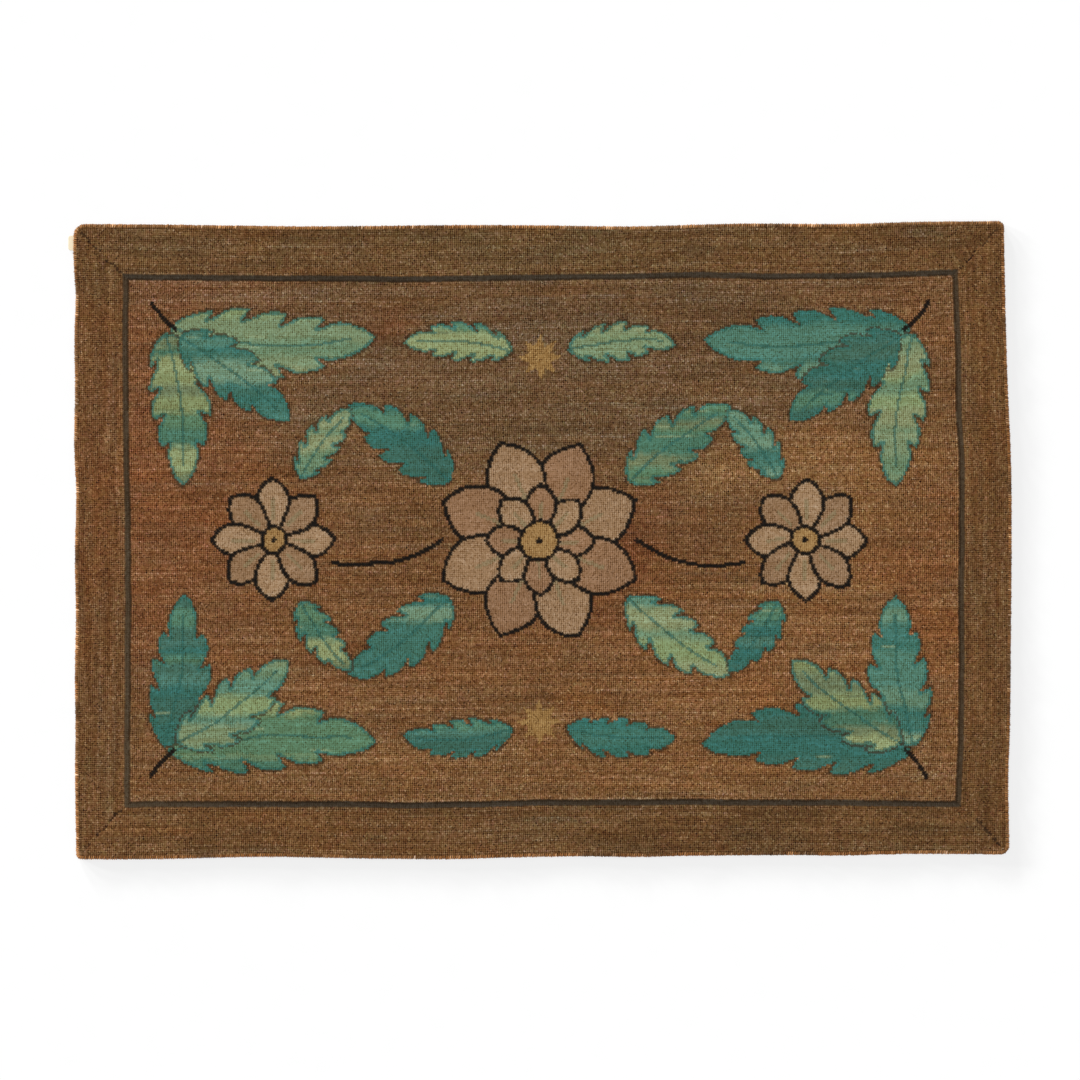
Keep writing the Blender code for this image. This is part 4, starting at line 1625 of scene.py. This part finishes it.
# The tape lies this far inside its solid, and its edges are rounded over this width
TAPE_INSET = 0.05
TAPE_ROUNDING = 0.35
TAPE_RIB = 1.1
TAPE_RIB_HEIGHT = 0.035
TAPE_CREAM = "#f1e4c6"
# Places close to an edge, and the first even place
EDGE_PLACES = np.array((0, 0.12, 0.3))
FIRST_EVEN = 0.6
# Each side of the tape fills half of the map, but for a margin
TAPE_MAP_SIZE = (0.98, 0.48)
TAPE_MAP_MARGIN = 0.01


def fine_edges(length):
    """Places along a length, with closer ones at both ends, in mm."""
    even = np.arange(FIRST_EVEN, length - TAPE_STEP, TAPE_STEP)
    return np.concatenate([EDGE_PLACES, even, (length - EDGE_PLACES)[::-1]])


def tape_surface(along, across, size):
    """Points of the tape's upper and then lower surface, and how far each is from the edge."""
    gap = np.clip(TAPE_CORNER - along, 0, None)
    narrow = TAPE_CORNER - np.sqrt(TAPE_CORNER ** 2 - gap ** 2)
    share = across / size[1] * 2 - 1
    x = tape_low[0] + along
    y = (tape_low[1] + tape_high[1]) / 2 + share * (size[1] / 2 - narrow)
    edge = np.minimum(np.minimum(along, size[0] - along), np.minimum(across, size[1] - across))
    rounding = np.sqrt(1 - (1 - np.clip(edge / TAPE_ROUNDING, 0, 1)) ** 2)
    rib = TAPE_RIB_HEIGHT * np.sin((x + y) * 2 * np.pi / TAPE_RIB)
    half = (size[2] / 2 - TAPE_INSET + rib) * rounding
    return np.vstack([in_threes([x, y, size[2] / 2 + sign * half]) for sign in (1, -1)]), edge


def make_tape():
    """The woven tape as a closed sheet."""
    size = tape_high - tape_low
    along, across = np.meshgrid(fine_edges(size[0]), fine_edges(size[1]))
    points, edge = tape_surface(along, across, size)
    top_id = np.arange(edge.size).reshape(edge.shape)
    bottom_id = np.where(edge > 0, top_id + edge.size, top_id)
    spread = np.stack([along / size[0], across / size[1]], axis=-1).reshape(-1, 2)
    triangles, corners = [], []
    for number, (ids, turn) in enumerate(((top_id, 1), (bottom_id, -1))):
        quad = [ids[:-1, :-1], ids[:-1, 1:], ids[1:, 1:], ids[1:, :-1]]
        for way in ((0, 1, 2), (0, 2, 3)):
            part = in_threes([quad[place] for place in way[::turn]])
            # A triangle with all its points on the edge would lie on its twin from the other side
            part = part[(edge.ravel()[part % edge.size] > 0).any(axis=1)]
            triangles.append(part)
            # The upper side has the lower half of the map, and the lower side the upper half
            shift = (TAPE_MAP_MARGIN, TAPE_MAP_MARGIN + 0.5 * number)
            corners.append(spread[part % edge.size] * TAPE_MAP_SIZE + shift)
    used, local = np.unique(np.vstack(triangles), return_inverse=True)
    local = local.reshape(-1, 3)
    cream = np.broadcast_to(linear(TAPE_CREAM), (len(local), 3, 3))
    piece = make_piece("woven_tape_tab", points[used] * MM, local, cream)
    add_map(piece, np.vstack(corners))
    return piece


tape_piece = make_tape()

# %% The tape's finish
def cotton_tape():
    """Unbleached cotton twill tape: matt, cream, with fine diagonal ribs and painted shade between them."""
    finish, tree, shader = new_finish("unbleached cotton tape", {
        "Metallic": 0.0, "IOR": 1.5, "Specular IOR Level": 0.2, "Sheen Weight": 0.05,
    })
    place = add_node(tree, "ShaderNodeTexCoord")
    uneven = {"Scale": WAVE_UNIT / (TAPE_RIB * MM), "Distortion": 0.6, "Detail": 1.0}
    ribs = add_node(tree, "ShaderNodeTexWave", {"bands_direction": "DIAGONAL", **uneven},
                    {"Vector": place.outputs["Object"]})
    wear_cloth(tree, shader, ribs.outputs["Fac"], grain_and_painted_shade={"To Min": 0.86, "To Max": 1.0},
               rough={"To Min": 0.92, "To Max": 0.8}, bump={"Strength": 0.4, "Distance": 0.0001})
    return finish


tape_piece.data.materials.append(cotton_tape())
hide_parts("tape_tab")

# %% [markdown]
# ## Two sheets of cloth
#
# The rug is one piece of hessian, so its flat size is the mat with its hem folded out. The pile, the
# rim's yarn and the stitches are part of that sheet. The tape is a second, small sheet.

# %% [markdown]
# ## Floor, light and camera
#
# The photo is a copy-stand picture: the rug lies flat on pure white, lit softly from the upper left,
# and the camera looks straight down. A long lens far away keeps the sides parallel. The floor glows a
# little, like a light table, until it is white. Light linking lets a lamp light only some pieces: a
# window light models the pile, and low lamps give the floor the wide, faint shadow on the right and
# below.

# %% Stage
# Width of the photo's frame, and the place at its middle
FRAME_WIDTH = 1161 * MM
CENTRE = (0.4 * MM, 0.2 * MM)
LENS = 100.0
SENSOR = 36.0
WHITE = "#ffffff"
SKY_STRENGTH = 0.80
FLOOR_GREYS = ("#6a6a6a", "#6e6e6e")
# Grains of noise to a metre: 25 millimetres each
FLOOR_GRAIN = 40.0
FLOOR_GLOW = 0.752
# In metres: so wide that its far edge shows in no view, and just under the rug
FLOOR_SIZE = 80
FLOOR_Z = -0.0001
# Columns: height and heading it comes from, spread, in degrees, strength, what it lights
LAMPS = (
    (26.0, 135.0, 24.0, 2.6, "rug"),
    (7.1, 115.0, 4.6, 7.4, "floor"),
    (7.1, 135.0, 4.6, 7.4, "floor"),
    (7.1, 155.0, 4.6, 7.4, "floor"),
)


def opaque(code):
    """A hex value as linear red, green, blue and full cover."""
    return (*linear(code), 1)


def make_stage():
    """A plain pale floor."""
    bpy.ops.mesh.primitive_plane_add(size=FLOOR_SIZE, location=(0, 0, FLOOR_Z))
    floor = bpy.context.object
    floor.name = "floor"
    finish, tree, shader = new_finish("pale paper floor", {
        "Roughness": 1.0, "Specular IOR Level": 0.0,
        "Emission Color": opaque(WHITE), "Emission Strength": FLOOR_GLOW,
    })
    place = add_node(tree, "ShaderNodeTexCoord")
    grain = add_node(tree, "ShaderNodeTexNoise", {"Scale": FLOOR_GRAIN},
                     {"Vector": place.outputs["Object"]})
    pale = add_node(tree, "ShaderNodeValToRGB", {}, {"Fac": grain.outputs["Fac"]})
    for stop, code in zip(pale.color_ramp.elements, FLOOR_GREYS, strict=True):
        stop.color = opaque(code)
    tree.links.new(pale.outputs["Color"], shader.inputs["Base Color"])
    floor.data.materials.append(finish)
    return floor


def make_light(lit):
    """An even white sky, a window light for the rug, and low lamps for the floor's shadow."""
    world = bpy.data.worlds.new("soft white sky")
    bpy.context.scene.world = world
    world.use_nodes = True
    sky = world.node_tree.nodes["Background"]
    sky.inputs["Color"].default_value = opaque(WHITE)
    sky.inputs["Strength"].default_value = SKY_STRENGTH
    groups = {name: bpy.data.collections.new(name) for name in lit}
    for name, pieces in lit.items():
        for piece in pieces:
            groups[name].objects.link(piece)
    for height, heading, spread, strength, name in LAMPS:
        lamp = bpy.data.objects.new("lamp", bpy.data.lights.new("lamp", "SUN"))
        lamp.data.energy = strength
        lamp.data.angle = math.radians(spread)
        lamp.rotation_euler = (math.radians(90 - height), 0, math.radians(heading + 90))
        bpy.context.collection.objects.link(lamp)
        lamp.light_linking.receiver_collection = groups[name]


def make_camera():
    """A long lens that looks straight down on the rug."""
    camera = bpy.data.objects.new("camera", bpy.data.cameras.new("camera"))
    camera.data.lens = LENS
    camera.data.sensor_width = SENSOR
    bpy.context.collection.objects.link(camera)
    camera.location = (*CENTRE, FRAME_WIDTH * LENS / SENSOR)
    bpy.context.scene.camera = camera


rug_pieces = [*pile_pieces, rim_piece, back_piece, hem_piece, tape_piece]
make_light({"rug": rug_pieces, "floor": [make_stage()]})
make_camera()
bpy.context.scene.view_settings.view_transform = "Standard"
